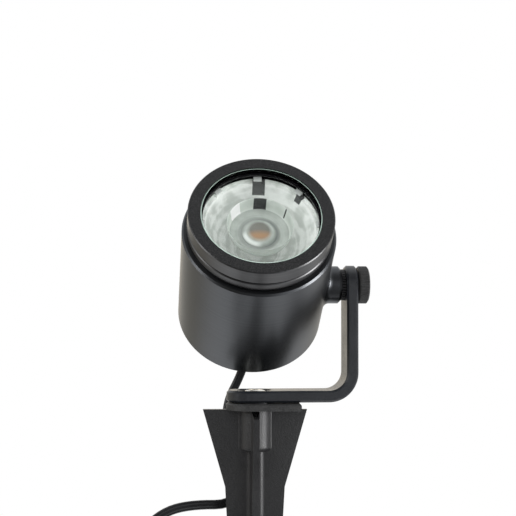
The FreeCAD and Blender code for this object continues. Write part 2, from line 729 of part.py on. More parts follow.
def make_gland():
    """Cable gland in the housing's back: body, seal, cap, tapered sleeve and the lead inside."""
    bore = size.cord_radius + size.cord_gap
    inner_end = -size.housing_back + size.back_thickness
    body = new_body("gland_body")
    sketch = sketch_on(body, "XY_Plane", offset=-size.housing_back)
    hexagon(sketch, size.gland_flats)
    pad(body, sketch, size.gland_hexagon, backwards=True)
    inside = sketch_on(body, "XY_Plane", offset=-size.housing_back)
    circles(inside, size.gland_hole, [(ZERO, ZERO)])
    pad(body, inside, size.back_thickness)
    outside = sketch_on(body, "XY_Plane", offset=GLAND_BACK)
    circles(outside, size.gland_thread_radius, [(ZERO, ZERO)])
    pad(body, outside, size.gland_thread, backwards=True)
    hole = sketch_on(body, "XY_Plane", offset=inner_end)
    circles(hole, bore, [(ZERO, ZERO)])
    pocket(body, hole, size.back_thickness + size.gland_hexagon + size.gland_thread)
    on_head(body)

    cap_inside = GLAND_BACK - size.gland_thread
    body = turned("gland_cap", [
        (size.gland_thread_radius, GLAND_BACK - size.cap_gap),
        (size.cap_radius, GLAND_BACK - size.cap_gap),
        (size.cap_radius, GLAND_BACK - size.cap_straight), (size.cap_nose, CAP_BACK),
        (size.sleeve_radius, CAP_BACK), (size.sleeve_radius, cap_inside),
        (size.gland_thread_radius, cap_inside)])
    on_head(body)

    body = turned("gland_sleeve", [
        (bore, cap_inside), (size.sleeve_radius, cap_inside), (size.sleeve_radius, CAP_BACK),
        (size.sleeve_tip, SLEEVE_END), (bore, SLEEVE_END)])
    on_head(body)

    radius = size.cord_radius
    board_back = size.shoulder - size.driver_space - size.driver_thickness
    body = turned("cord_inside", [
        (ZERO, SLEEVE_END), (radius, SLEEVE_END), (radius, board_back), (ZERO, board_back)])
    on_head(body)


# ---- bracket, clamp knob and washers ----

FOOT_TOP = size.foot_level + size.bar_thickness
WASHER_LEVEL = FOOT_TOP - size.recess_depth
HEAD_LEVEL = WASHER_LEVEL + size.screw_washer_thickness
KNOB_START = ARM_OUTSIDE + size.knob_washer_thickness


def make_bracket():
    """Bent flat bar: a foot under the foot screw, one bend and a round-ended arm at the pivot."""
    half = size.bar_width / 2
    arm_top = size.pivot_height + half
    bend_outside = size.bend_inside + size.bar_thickness
    body = new_body("bracket")
    profile = sketch_on(body, "XZ_Plane")
    outline(profile, [
        (-size.foot_reach, size.foot_level),
        (ARM_OUTSIDE - bend_outside, size.foot_level, bend_outside, 1),
        (ARM_OUTSIDE, size.foot_level + bend_outside),
        (ARM_OUTSIDE, arm_top), (size.arm_inside, arm_top),
        (size.arm_inside, FOOT_TOP + size.bend_inside, size.bend_inside, -1),
        (size.arm_inside - size.bend_inside, FOOT_TOP),
        (-size.foot_reach, FOOT_TOP)])
    solid = pad(body, profile, size.bar_width, both_ways=True)
    end_x, top_z = -size.foot_reach.value, arm_top.value

    def corner(edge):
        box = edge.BoundBox
        at_foot_end = abs(box.XMax - end_x) < TOLERANCE and box.YLength < TOLERANCE
        at_arm_top = abs(box.ZMin - top_z) < TOLERANCE and box.YLength < TOLERANCE
        return at_foot_end or at_arm_top

    solid = dress(body, "Fillet", solid, half - size.bar_end_flat / 2, corner)

    def long_edge(edge):
        """The edges of the bar's two wide faces."""
        box = edge.BoundBox
        middle = edge.valueAt((edge.FirstParameter + edge.LastParameter) / 2)
        on_side = abs(abs(middle.y) - half.value) < TOLERANCE
        round_end = box.YLength > TOLERANCE and max(box.XLength, box.ZLength) > TOLERANCE
        return on_side or round_end

    solid = dress(body, "Chamfer", solid, size.bar_edge, long_edge)
    seat = sketch_on(body, "XY_Plane", offset=FOOT_TOP)
    circles(seat, size.recess_radius, [(ZERO, ZERO)])
    pocket(body, seat, size.recess_depth)
    hole = sketch_on(body, "XY_Plane", offset=FOOT_TOP)
    circles(hole, size.foot_screw_radius + size.turn_gap, [(ZERO, ZERO)])
    pocket(body, hole, size.bar_thickness)
    pivot = sketch_on(body, "YZ_Plane", offset=ARM_OUTSIDE)
    circles(pivot, size.stud_radius + size.turn_gap, [(ZERO, size.pivot_height)])
    pocket(body, pivot, size.bar_thickness)


def make_knob():
    """Clamp knob with a crowned face and grip flutes, its stud, and the two washers on it."""
    hole = size.stud_radius + size.turn_gap
    body = ring("lock_washer", hole, size.lock_radius, ZERO, size.lock_thickness)
    tooth = sketch_on(body, "XY_Plane", offset=size.lock_thickness)
    valley = size.lock_radius - size.lock_tooth_depth
    beyond = size.lock_radius + size.lock_tooth_depth / 2
    outline(tooth, [(valley, ZERO), (beyond, -size.lock_tooth_depth),
                    (beyond, size.lock_tooth_depth)])
    cut = pocket(body, tooth, size.lock_thickness)
    repeat(body, cut, size.lock_teeth)
    on_pivot(body, BOSS_FACE)

    body = ring("knob_washer", hole, size.knob_washer_radius, ZERO, size.knob_washer_thickness)
    on_pivot(body, ARM_OUTSIDE)

    rim, rise = size.knob_thickness, size.knob_crown
    face, edge = size.knob_face, size.knob_round
    body = turned("clamp_knob", [
        (ZERO, size.stud_grip), (size.stud_radius, size.stud_grip), (size.stud_radius, ZERO),
        (size.knob_radius - edge, ZERO), (size.knob_radius, edge),
        (size.knob_radius, rim - edge), (face, rim, dome_radius(face, rise), 1),
        (ZERO, rim + rise)])
    flute = sketch_on(body, "XY_Plane", offset=rim)
    circles(flute, size.flute_radius,
            [(size.knob_radius + size.flute_radius - size.flute_inset, ZERO)])
    cut = pocket(body, flute, rim)
    repeat(body, cut, size.knob_flutes)
    on_pivot(body, KNOB_START)

    stud_start = BOSS_FACE - size.stud_depth
    stud_length = KNOB_START + size.stud_grip - stud_start
    body = turned("knob_stud", [
        (ZERO, ZERO), (size.stud_radius - size.stud_point, ZERO),
        (size.stud_radius, size.stud_point), (size.stud_radius, stud_length), (ZERO, stud_length)])
    on_pivot(body, stud_start)


def make_foot_screw():
    """Domed foot screw with a hexagon socket, its washer and the thin slip washer under the foot."""
    radius, head, rise = size.foot_screw_radius, size.foot_screw_head, size.foot_screw_rise
    flat = size.hex_flats / 2 + size.foot_screw_flat
    edge, point = size.foot_screw_edge, size.stud_point
    dome = dome_radius(head - flat, rise - edge)
    body = turned("foot_screw", [
        (ZERO, -size.foot_screw_length), (radius - point, -size.foot_screw_length),
        (radius, -size.foot_screw_length + point), (radius, ZERO), (head, ZERO),
        (head, edge, dome, 1), (flat, rise), (ZERO, rise)])
    socket = sketch_on(body, "XY_Plane", offset=rise)
    hexagon(socket, size.hex_flats)
    pocket(body, socket, size.hex_depth)
    place(body, z=HEAD_LEVEL)

    body = ring("screw_washer", radius + size.screw_gap, size.screw_washer_radius,
                ZERO, size.screw_washer_thickness)
    place(body, z=WASHER_LEVEL)

    body = ring("slip_washer", radius + size.screw_gap, size.slip_radius,
                size.plate_thickness, size.foot_level)


# ---- base plate and spike ----

def make_base_plate():
    """Plate on top of the spike: one end round, one square, with a spigot in the spike's socket."""
    half = size.plate_half_width
    body = new_body("base_plate")
    plan = sketch_on(body, "XY_Plane")
    outline(plan, [
        (half - size.plate_left, -half), (size.plate_right, -half), (size.plate_right, half),
        (half - size.plate_left, half, half, 1), (-size.plate_left, ZERO, half, 1)])
    solid = pad(body, plan, size.plate_thickness)
    top = size.plate_thickness.value
    solid = dress(body, "Chamfer", solid, size.plate_edge,
                  lambda edge: edge.BoundBox.ZLength < TOLERANCE
                  and edge.BoundBox.ZMin > top - TOLERANCE)
    spigot = sketch_on(body, "XY_Plane")
    circles(spigot, size.plate_spigot, [(ZERO, ZERO)])
    pad(body, spigot, size.plate_spigot_length, backwards=True)
    hole = sketch_on(body, "XY_Plane", offset=size.plate_thickness)
    circles(hole, size.foot_screw_radius + size.screw_gap, [(ZERO, ZERO)])
    pocket(body, hole, size.plate_thickness + size.plate_spigot_length)
    place(body, angle=size.spike_yaw)


def cross_section(edge_reach):
    """Plan of four tapered fins with a fillet between each two."""
    inner = size.fin_root + size.fin_fillet
    quarter = [(edge_reach, size.fin_edge), (inner, size.fin_root, size.fin_fillet, -1)]
    points = []
    for turn in range(4):
        for point in [(edge_reach, -size.fin_edge)] + quarter:
            across, up = point[0], point[1]
            for _ in range(turn):
                across, up = -up, across
            points.append((across, up) + tuple(point[2:]))
        # the fillet ends on the next fin's root
        across, up = size.fin_root, inner
        for _ in range(turn):
            across, up = -up, across
        points.append((across, up))
    return points


def make_spike():
    """Moulded ground spike: four fins cut to one outline from both sides, round a socket tube."""
    length, reach = size.spike_length, size.spike_top
    body = new_body("ground_spike")
    plan = sketch_on(body, "XY_Plane")
    outline(plan, cross_section(reach))
    pad(body, plan, length, backwards=True)
    point_start = -(length - size.point_length)
    beside = [(reach, ZERO), (reach, -length), (size.tip_width, -length),
              (size.point_width, point_start), (size.spike_waist, -size.waist_depth)]
    for plane in ("XZ_Plane", "YZ_Plane"):
        for side in (1, -1):
            waste = sketch_on(body, plane)
            outline(waste, [(across * side, up) for across, up in beside])
            pocket(body, waste, reach * 3, both_ways=True)
    socket = sketch_on(body, "XY_Plane")
    circles(socket, size.socket_outer, [(ZERO, ZERO)])
    solid = pad(body, socket, size.socket_depth, backwards=True)
    tube, foot = size.socket_outer.value, -size.socket_depth.value
    solid = dress(body, "Fillet", solid, size.socket_round,
                  lambda edge: is_circle(edge, tube)
                  and abs(edge.BoundBox.ZMax - foot) < TOLERANCE)

    def meets_fin(edge):
        """Where the socket tube and its rounded foot meet the fins."""
        box = edge.BoundBox
        on_tube = box.ZMin > foot - TOLERANCE and box.ZLength > TOLERANCE
        widest = max(math.hypot(vertex.X, vertex.Y) for vertex in edge.Vertexes)
        return on_tube and abs(widest - tube) < TOLERANCE

    dress(body, "Fillet", solid, size.socket_fillet, meets_fin)
    notch = sketch_on(body, "XZ_Plane")
    outline(notch, [(-size.notch_width / 2, ZERO), (-size.notch_floor / 2, -size.notch_depth),
                    (size.notch_floor / 2, -size.notch_depth), (size.notch_width / 2, ZERO)])
    pocket(body, notch, reach * 2, both_ways=True)
    bore = sketch_on(body, "XY_Plane")
    circles(bore, size.plate_spigot + size.socket_gap, [(ZERO, ZERO)])
    pocket(body, bore, size.plate_spigot_length + size.insert_gap)
    nut = sketch_on(body, "XY_Plane", offset=-size.plate_spigot_length)
    hexagon(nut, size.insert_flats)
    pocket(body, nut, size.insert_depth + size.insert_gap)
    place(body, angle=size.spike_yaw)

    body = new_body("spike_insert")
    level = -size.plate_spigot_length - size.insert_gap
    nut = sketch_on(body, "XY_Plane", offset=level)
    hexagon(nut, size.insert_flats)
    pad(body, nut, size.insert_depth, backwards=True)
    hole = sketch_on(body, "XY_Plane", offset=level)
    circles(hole, size.foot_screw_radius + size.insert_fit, [(ZERO, ZERO)])
    pocket(body, hole, size.insert_depth)
    place(body, angle=size.spike_yaw)


# ---- lead, coil, tie and plug ----

COIL_LOW = -size.spike_length + size.tie_thickness + size.tie_slack + size.cord_radius
COIL_HIGH = COIL_LOW + size.coil_pitch


def tube(label, path):
    """A round lead along a wire of straight runs and arcs, checked by its volume."""
    radius = size.cord_radius.value
    start = path.Edges[0]
    section = Part.Wire([Part.Circle(start.valueAt(start.FirstParameter),
                                     start.tangentAt(start.FirstParameter), radius).toShape()])
    shell = Part.BRepOffsetAPI.MakePipeShell(path)
    shell.add(section)
    shell.build()
    shell.makeSolid()
    feature = doc.addObject("Part::Feature", label)
    feature.Label = label
    feature.Shape = shell.shape()
    parts.append(feature)
    expected = math.pi * radius ** 2 * path.Length
    print(f"{label}: length {path.Length:.1f} mm, volume {feature.Shape.Volume / expected:.4f} "
          f"of section times length")
    return feature


def routed(points):
    """Straight runs joined by tangent arcs, each as large as its two runs allow."""
    points = [FreeCAD.Vector(*point) for point in points]
    edges, radii = [], []
    here = points[0]
    for before, corner, after in zip(points, points[1:], points[2:]):
        way_in = (corner - before).normalize()
        way_out = (after - corner).normalize()
        half_turn = way_in.getAngle(way_out) / 2
        cut = 0.45 * min((corner - before).Length, (after - corner).Length)
        radius = cut / math.tan(half_turn)
        arc_start = corner - way_in * cut
        arc_end = corner + way_out * cut
        inward = (way_out - way_in).normalize()
        middle = corner + inward * (radius / math.cos(half_turn) - radius)
        edges.append(Part.LineSegment(here, arc_start).toShape())
        edges.append(Part.Arc(arc_start, middle, arc_end).toShape())
        radii.append(radius)
        here = arc_end
    edges.append(Part.LineSegment(here, points[-1]).toShape())
    print("bend radii:", ", ".join(f"{radius:.1f}" for radius in radii))
    return Part.Wire(edges)


def coil_point(half_turns):
    """Centre line of the coil after this many half turns: in, up a layer, and out again."""
    outer, step = size.coil_outer.value, size.coil_pitch.value / 2
    inner = outer - step * HALF_TURNS_IN
    if half_turns <= HALF_TURNS_IN:
        radius, rise = outer - step * half_turns, 0.0
    elif half_turns <= HALF_TURNS_IN + 1:
        radius, rise = inner, half_turns - HALF_TURNS_IN
    else:
        radius, rise = inner + step * (half_turns - HALF_TURNS_IN - 1), 1.0
    angle = math.pi * half_turns
    return FreeCAD.Vector(
        size.coil_x.value + radius * math.cos(angle), size.coil_y.value + radius * math.sin(angle),
        COIL_LOW.value + size.coil_pitch.value * rise)


def biarc(start, start_way, end, end_way):
    """Two arcs that leave start and reach end in the given directions."""
    across = end - start
    ways = start_way + end_way
    spread = 2 * (1 - start_way.dot(end_way))
    along = across.dot(ways)
    reach = (-along + math.sqrt(along ** 2 + spread * across.dot(across))) / spread
    first, last = start + start_way * reach, end - end_way * reach
    joint = (first + last) / 2
    arcs = []
    for begin, corner, finish in ((start, first, joint), (joint, last, end)):
        half = (corner - begin).getAngle(finish - corner) / 2
        chord_middle = (begin + finish) / 2
        lift = (finish - begin).Length / 2 * math.tan(half / 2)
        middle = chord_middle + (corner - chord_middle).normalize() * lift
        arcs.append(Part.Arc(begin, middle, finish).toShape())
    return arcs


def coil_path():
    """The coil's turns on biarcs of half a turn, with a straight lead-in and lead-out."""
    total = HALF_TURNS_IN + 1 + HALF_TURNS_OUT
    stops = [coil_point(number) for number in range(total + 1)]
    ways = [FreeCAD.Vector(0, 1 if number % 2 == 0 else -1, 0) for number in range(total + 1)]
    straight = 2 * size.cord_radius.value
    edges = [Part.LineSegment(stops[0] - ways[0] * straight, stops[0]).toShape()]
    for number in range(total):
        edges += biarc(stops[number], ways[number], stops[number + 1], ways[number + 1])
    edges.append(Part.LineSegment(stops[-1], stops[-1] + ways[-1] * straight).toShape())
    return Part.Wire(edges)


def least_gap(path):
    """The smallest gap between turns, on points a few degrees apart."""
    points = path.discretize(Number=1400)
    spacing = path.Length / (len(points) - 1)
    apart = int(math.pi * size.coil_pitch.value * 2 / spacing)
    least = min((here - there).Length for number, here in enumerate(points[::3])
                for there in points[number * 3 + apart::3])
    return least - 2 * size.cord_radius.value


def halfway(first, second):
    return (FreeCAD.Vector(*first) + FreeCAD.Vector(*second)) / 2


def make_cord():
    """The lead: from the gland's sleeve down behind the spike, to the ground and into its coil."""
    tilt = math.radians(size.head_tilt.value)
    pivot = FreeCAD.Vector(size.head_offset.value, 0, size.pivot_height.value)
    backwards = FreeCAD.Vector(0, math.cos(tilt), -math.sin(tilt))
    exit_point = pivot - backwards * SLEEVE_END.value
    first = exit_point + backwards * SLEEVE_RUN
    coil = coil_path()
    print(f"cord_coil: least gap between turns {least_gap(coil):.2f} mm")
    coil_start = coil.Edges[0].Vertexes[0].Point
    landing = coil_start - FreeCAD.Vector(0, LANDING_RUN, 0)
    upper_end = halfway(UPPER_ROUTE[-1], MIDDLE_ROUTE[0])
    middle_end = halfway(MIDDLE_ROUTE[-1], LOWER_ROUTE[0])
    tube("cord_upper", routed([exit_point, first, *UPPER_ROUTE, upper_end]))
    tube("cord_middle", routed([upper_end, *MIDDLE_ROUTE, middle_end]))
    tube("cord_lower", routed([middle_end, *LOWER_ROUTE, landing, coil_start]))
    tube("cord_coil", coil)


def make_tie():
    """Strap round the coil's section, opposite the lead-in."""
    pitch = size.coil_pitch
    section = size.cord_radius + size.tie_gap
    inner = size.coil_outer - pitch * (HALF_TURNS_IN / 2) - section
    outer = size.coil_outer + section
    high = size.tie_thickness + size.tie_slack + size.cord_radius * 2 + pitch + size.tie_top_gap
    wall = size.tie_thickness
    body = new_body("cord_tie")
    loop = sketch_on(body, "XZ_Plane")
    rectangle(loop, inner - wall, ZERO, outer + wall, high + wall)
    rectangle(loop, inner, wall, outer, high)
    pad(body, loop, size.tie_width, both_ways=True)
    place(body, size.coil_x, size.coil_y, -size.spike_length, axis=Z_WAY, angle=as_dim(90))


def make_plug():
    """Round two-pin plug with a tapered strain relief, lying on the ground at the coil's end."""
    end_x, end_y = size.coil_x - size.coil_outer, size.coil_y - size.cord_radius * 2
    neck = size.plug_neck_length
    grip = size.tie_thickness + size.tie_slack + size.cord_radius + size.coil_pitch
    length, edge = size.plug_length, size.plug_edge
    narrow = grip - size.plug_shoulder_drop
    body = turned("plug_body", [
        (ZERO, ZERO), (size.plug_neck_tip, ZERO), (size.plug_neck, neck),
        (narrow, neck + edge), (grip, neck + size.plug_shoulder), (grip, neck + length - edge),
        (grip - edge, neck + length), (ZERO, neck + length)])
    place(body, end_x, end_y, COIL_HIGH, axis=X_WAY, angle=as_dim(90))

    body = new_body("plug_pins")
    body.AllowCompound = True
    pins = sketch_on(body, "XY_Plane", offset=neck + length)
    half = size.pin_spacing / 2
    circles(pins, size.pin_radius, [(half, ZERO), (-half, ZERO)])
    pad(body, pins, size.pin_length)
    place(body, end_x, end_y, COIL_HIGH, axis=X_WAY, angle=as_dim(90))


make_housing()
make_rings()
make_optic()
make_optic_holder()
make_light_source()
make_driver()
make_gland()
make_bracket()
make_knob()
make_foot_screw()
make_base_plate()
make_spike()
make_tie()
make_cord()
make_plug()

doc.recompute()
for item in doc.Objects:
    if {"Invalid", "Error"} & set(item.State):
        raise RuntimeError(f"{item.Label} failed: {item.State}")
os.makedirs("parts", exist_ok=True)
for part in parts:
    shape = part.Shape
    if shape.isNull() or not shape.isValid():
        raise RuntimeError(f"{part.Label} has no valid shape")
    shape.exportStep(f"parts/{part.Label}.step")
print(len(parts), "parts")
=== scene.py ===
"""Garden spike spotlight: its finishes, its clear optic, its lead and the studio round them.

Metres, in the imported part's own frame: origin on the spike's axis at soil level, +X along the
bracket's foot towards its arm, -Y the side the lamp shines to, +Z up.
"""
import json
import logging
import math
from dataclasses import dataclass
from enum import Enum
from typing import Optional, Sequence, Union

import bpy
import numpy as np
from mathutils import Matrix, Vector


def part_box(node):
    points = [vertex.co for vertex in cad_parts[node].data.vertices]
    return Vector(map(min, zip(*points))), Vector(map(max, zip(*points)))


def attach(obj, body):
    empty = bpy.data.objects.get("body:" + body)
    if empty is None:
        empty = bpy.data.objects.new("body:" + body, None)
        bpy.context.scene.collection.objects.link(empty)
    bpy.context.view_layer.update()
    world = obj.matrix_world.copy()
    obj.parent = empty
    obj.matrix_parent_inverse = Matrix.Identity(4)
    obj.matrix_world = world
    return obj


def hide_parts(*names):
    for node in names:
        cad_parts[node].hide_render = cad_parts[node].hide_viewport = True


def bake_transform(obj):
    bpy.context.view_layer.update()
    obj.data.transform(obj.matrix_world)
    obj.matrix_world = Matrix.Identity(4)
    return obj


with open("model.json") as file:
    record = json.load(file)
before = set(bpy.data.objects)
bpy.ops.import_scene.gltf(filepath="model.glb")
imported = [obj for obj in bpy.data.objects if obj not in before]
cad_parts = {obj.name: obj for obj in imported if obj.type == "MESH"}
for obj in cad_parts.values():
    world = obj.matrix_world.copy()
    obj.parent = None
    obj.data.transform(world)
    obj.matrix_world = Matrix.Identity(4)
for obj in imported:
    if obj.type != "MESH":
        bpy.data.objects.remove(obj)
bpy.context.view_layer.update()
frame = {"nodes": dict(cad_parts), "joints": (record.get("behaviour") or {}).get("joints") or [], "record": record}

log = logging.getLogger("spotlight")
Colour = tuple[float, float, float]
MM = 0.001
JOINTS = {joint["name"]: joint for joint in frame["joints"]}
HEAD_AXIS = np.array(JOINTS["front_ring_turn"]["axis"], float)
HEAD_PIVOT = np.array(JOINTS["front_ring_turn"]["pos_m"], float)
HEAD_UP = np.cross(HEAD_AXIS, (1.0, 0.0, 0.0))
SHARP = math.radians(50)
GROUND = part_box("ground_spike")[0].z


# ---- shader arithmetic ----

class Field:
    """A number that changes over a surface. Arithmetic on it adds Math nodes."""

    def __init__(self, nodes: "Nodes", socket: bpy.types.NodeSocket) -> None:
        self.nodes = nodes
        self.socket = socket

    def _math(self, operation: str, *values: "Number") -> "Field":
        """One Math node.

        Args:
            operation: Blender's name of the operation.
            values: Its operands in order.

        Returns:
            The result as a field.
        """
        node = self.nodes.add("Math", {"operation": operation}, dict(enumerate(values)))
        return Field(self.nodes, node.outputs[0])

    def __add__(self, other: "Number") -> "Field":
        """This plus other."""
        return self._math("ADD", self, other)

    def __sub__(self, other: "Number") -> "Field":
        """This less other."""
        return self._math("SUBTRACT", self, other)

    def __rsub__(self, other: "Number") -> "Field":
        """Other less this."""
        return self._math("SUBTRACT", other, self)

    def __mul__(self, other: "Number") -> "Field":
        """This times other."""
        return self._math("MULTIPLY", self, other)

    def __truediv__(self, other: "Number") -> "Field":
        """This over other."""
        return self._math("DIVIDE", self, other)

    __radd__ = __add__
    __rmul__ = __mul__

    def wave(self) -> "Field":
        """Its sine."""
        return self._math("SINE", self)

    def larger(self, other: "Number") -> "Field":
        """The larger of this and other."""
        return self._math("MAXIMUM", self, other)

    def angle_from(self, across: "Field") -> "Field":
        """The angle of the point (across, this), in radians."""
        return self._math("ARCTAN2", self, across)

    def between(self, low: float, high: float, soft: float) -> "Field":
        """1 between low and high, 0 outside, over edges of width soft."""
        half = soft / 2
        return self.step(low - half, low + half) * self.step(high + half, high - half)

    def step(self, low: float, high: float) -> "Field":
        """Rises smoothly from 0 at low to 1 at high, or falls where low is above high.

        Args:
            low: Value that gives 0.
            high: Value that gives 1.

        Returns:
            The smooth step, 3t^2 - 2t^3 of the share t of the way.
        """
        node = self.nodes.add("MapRange", {"interpolation_type": "SMOOTHSTEP"},
                              {"Value": self, "From Min": low, "From Max": high})
        return Field(self.nodes, node.outputs["Result"])


Number = Union[Field, float]


class Nodes:
    """Makes the nodes of one material or of the world."""

    def __init__(self, tree: bpy.types.NodeTree) -> None:
        self.tree = tree
        tree.nodes.clear()

    def add(self, kind: str, settings: Optional[dict] = None,
            inputs: Optional[dict] = None) -> bpy.types.Node:
        """Adds one node.

        Args:
            kind: Its type, without the leading ShaderNode.
            settings: Its settings, set first.
            inputs: Values, fields or sockets by the input's name or number.

        Returns:
            The node.
        """
        node = self.tree.nodes.new("ShaderNode" + kind)
        for name, value in (settings or {}).items():
            setattr(node, name, value)
        for name, value in (inputs or {}).items():
            if isinstance(value, Field):
                value = value.socket
            if isinstance(value, bpy.types.NodeSocket):
                self.tree.links.new(value, node.inputs[name])
            else:
                node.inputs[name].default_value = value
        return node

    def place(self) -> bpy.types.NodeSocket:
        """The point of the surface, in metres in the part's frame."""
        return self.add("TexCoord").outputs["Object"]

    def along(self, axis: Sequence[float], origin: Sequence[float]) -> Field:
        """Distance of the surface's point from origin, measured along axis."""
        beside = self.add("VectorMath", {"operation": "SUBTRACT"},
                          {0: self.place(), 1: tuple(origin)})
        dot = self.add("VectorMath", {"operation": "DOT_PRODUCT"},
                       {0: beside.outputs[0], 1: tuple(axis)})
        return Field(self, dot.outputs["Value"])

    def away(self, axis: Sequence[float], origin: Sequence[float]) -> Field:
        """Distance of the surface's point from the line through origin along axis."""
        beside = self.add("VectorMath", {"operation": "SUBTRACT"},
                          {0: self.place(), 1: tuple(origin)})
        cross = self.add("VectorMath", {"operation": "CROSS_PRODUCT"},
                         {0: beside.outputs[0], 1: tuple(axis)})
        length = self.add("VectorMath", {"operation": "LENGTH"}, {0: cross.outputs[0]})
        return Field(self, length.outputs["Value"])

    def noise(self, size: float, detail: float = 2.0, stretch: Colour = (1, 1, 1)) -> Field:
        """Cloudy noise about 0.5.

        Args:
            size: Size of its clouds, in metres.
            detail: How many finer layers it has.
            stretch: How much longer the clouds are along X, Y and Z.

        Returns:
            The noise.
        """
        scaled = self.add("Mapping", inputs={
            "Vector": self.place(), "Scale": tuple(1 / (size * share) for share in stretch)})
        node = self.add("TexNoise", inputs={
            "Vector": scaled.outputs[0], "Scale": 1.0, "Detail": detail})
        return Field(self, node.outputs["Fac"])

    def noise_along(self, value: Field, size: float, detail: float = 2.0) -> Field:
        """Noise that only changes with one value, in steps of about this size."""
        node = self.add("TexNoise", {"noise_dimensions": "1D"}, {
            "W": value / size, "Scale": 1.0, "Detail": detail})
        return Field(self, node.outputs["Fac"])

    def blend(self, share: Field, low: "Tint", high: "Tint") -> bpy.types.NodeSocket:
        """A colour between low, where share is 0, and high, where it is 1."""
        ends = [tint if isinstance(tint, bpy.types.NodeSocket) else (*tint, 1)
                for tint in (low, high)]
        node = self.add("Mix", {"data_type": "RGBA"}, {0: share, 6: ends[0], 7: ends[1]})
        return node.outputs[2]

    def bump(self, height: Field, depth: float) -> bpy.types.NodeSocket:
        """The normal of a relief that is depth metres from its lowest to its highest."""
        node = self.add("Bump", inputs={"Height": height, "Distance": depth, "Strength": 1.0})
        return node.outputs["Normal"]


Tint = Union[Colour, bpy.types.NodeSocket]


class HeadPlace:
    """Where a surface's point lies in the lamp head.

    Attributes:
        across, up: Its place on the beam's section, along the pivot and square to it.
        along: Its distance from the pivot along the beam.
        radius: Its distance from the beam's axis.
        angle: Its angle round the axis, from the pivot's side, in radians.
    """

    def __init__(self, nodes: Nodes) -> None:
        self.across = nodes.along((1, 0, 0), HEAD_PIVOT)
        self.up = nodes.along(HEAD_UP, HEAD_PIVOT)
        self.along = nodes.along(HEAD_AXIS, HEAD_PIVOT)
        self.radius = nodes.away(HEAD_AXIS, HEAD_PIVOT)
        self.angle = self.up.angle_from(self.across)


# ---- finishes ----

def shaded(colour: Colour, share: float) -> Colour:
    """The colour made lighter, or darker where share is under 1."""
    return tuple(min(part * share, 1.0) for part in colour)


@dataclass(frozen=True)
class Finish:
    """A finish with clouded tone and a fine relief.

    Attributes:
        name: The record's material slot.
        colour: Middle tone.
        rough: Middle roughness.
        spread: How far tone and roughness stray, as a share.
        cloud: Size of the clouds in the tone, in metres.
        grain: Size of the relief's grains, in metres.
        depth: Height of those grains, in metres.
        metal: Metallic share.
        gloss: Specular level, 0.5 for plain plastic.
        alpha: How much of it shows, from 0 to 1.
    """

    name: str
    colour: Colour
    rough: float = 0.5
    spread: float = 0.12
    cloud: float = 0.006
    grain: float = 0.0003
    depth: float = 0.00001
    metal: float = 0.0
    gloss: float = 0.5
    alpha: float = 1.0

    def relief(self, nodes: Nodes) -> Field:
        """The relief, from 0 to 1: here a fine grain."""
        return nodes.noise(self.grain, 1.0)

    def tone(self, nodes: Nodes) -> Field:
        """Where the tone is light (1) and dark (0)."""
        return nodes.noise(self.cloud, 3.0)

    def tint(self, nodes: Nodes, tone: Field) -> bpy.types.NodeSocket:
        """The colour: the middle tone, made darker and lighter by tone."""
        return nodes.blend(tone, shaded(self.colour, 1 - self.spread),
                           shaded(self.colour, 1 + self.spread))

    def material(self) -> bpy.types.Material:
        """Makes the finish's material.

        Returns:
            The material, named after the slot.
        """
        made = bpy.data.materials.new(self.name)
        made.use_nodes = True
        nodes = Nodes(made.node_tree)
        tone = self.tone(nodes).step(0.2, 0.8)
        shader = nodes.add("BsdfPrincipled", inputs={
            "Base Color": self.tint(nodes, tone),
            "Roughness": self.rough + (tone - 0.5) * (self.rough * self.spread),
            "Metallic": self.metal, "Specular IOR Level": self.gloss, "Alpha": self.alpha,
            "Normal": nodes.bump(self.relief(nodes), self.depth)})
        self.extra(nodes, shader)
        output = nodes.add("OutputMaterial")
        made.node_tree.links.new(shader.outputs[0], output.inputs[0])
        return made

    def extra(self, nodes: Nodes, shader: bpy.types.Node) -> None:
        """What a kind of finish adds to the shader."""


@dataclass(frozen=True)
class TurnedMetal(Finish):
    """Dark anodised metal with turning marks: fine rings round the head's axis.

    Attributes:
        pitch: Width of a turning mark.
        bore: Radius of the bore, which is painted near black as shade.
    """

    pitch: float = 0.0006
    bore: float = 0.0245

    def relief(self, nodes: Nodes) -> Field:
        """Rings that change along the head's axis, with a little grain."""
        rings = nodes.noise_along(nodes.along(HEAD_AXIS, HEAD_PIVOT), self.pitch, 2.0)
        return rings * 0.8 + nodes.noise(self.grain, 1.0) * 0.2

    def tone(self, nodes: Nodes) -> Field:
        """Turning marks and clouds together."""
        rings = nodes.noise_along(nodes.along(HEAD_AXIS, HEAD_PIVOT), self.pitch * 1.7, 3.0)
        return rings * 0.6 + nodes.noise(self.cloud, 3.0) * 0.4

    def bore_shade(self, nodes: Nodes) -> Field:
        """Where the bore's painted shade is."""
        return nodes.away(HEAD_AXIS, HEAD_PIVOT).step(self.bore, self.bore - 0.0002)

    def tint(self, nodes: Nodes, tone: Field) -> bpy.types.NodeSocket:
        """The turned tone outside, and painted shade, near black, in the bore."""
        return nodes.blend(self.bore_shade(nodes), super().tint(nodes, tone),
                           shaded(self.colour, 0.06))


@dataclass(frozen=True)
class Speckled(Finish):
    """Grained finish whose grains also catch the light as small pale specks."""

    def tone(self, nodes: Nodes) -> Field:
        """Grain and clouds together."""
        return nodes.noise(self.grain, 2.0) * 0.7 + nodes.noise(self.cloud, 2.0) * 0.3


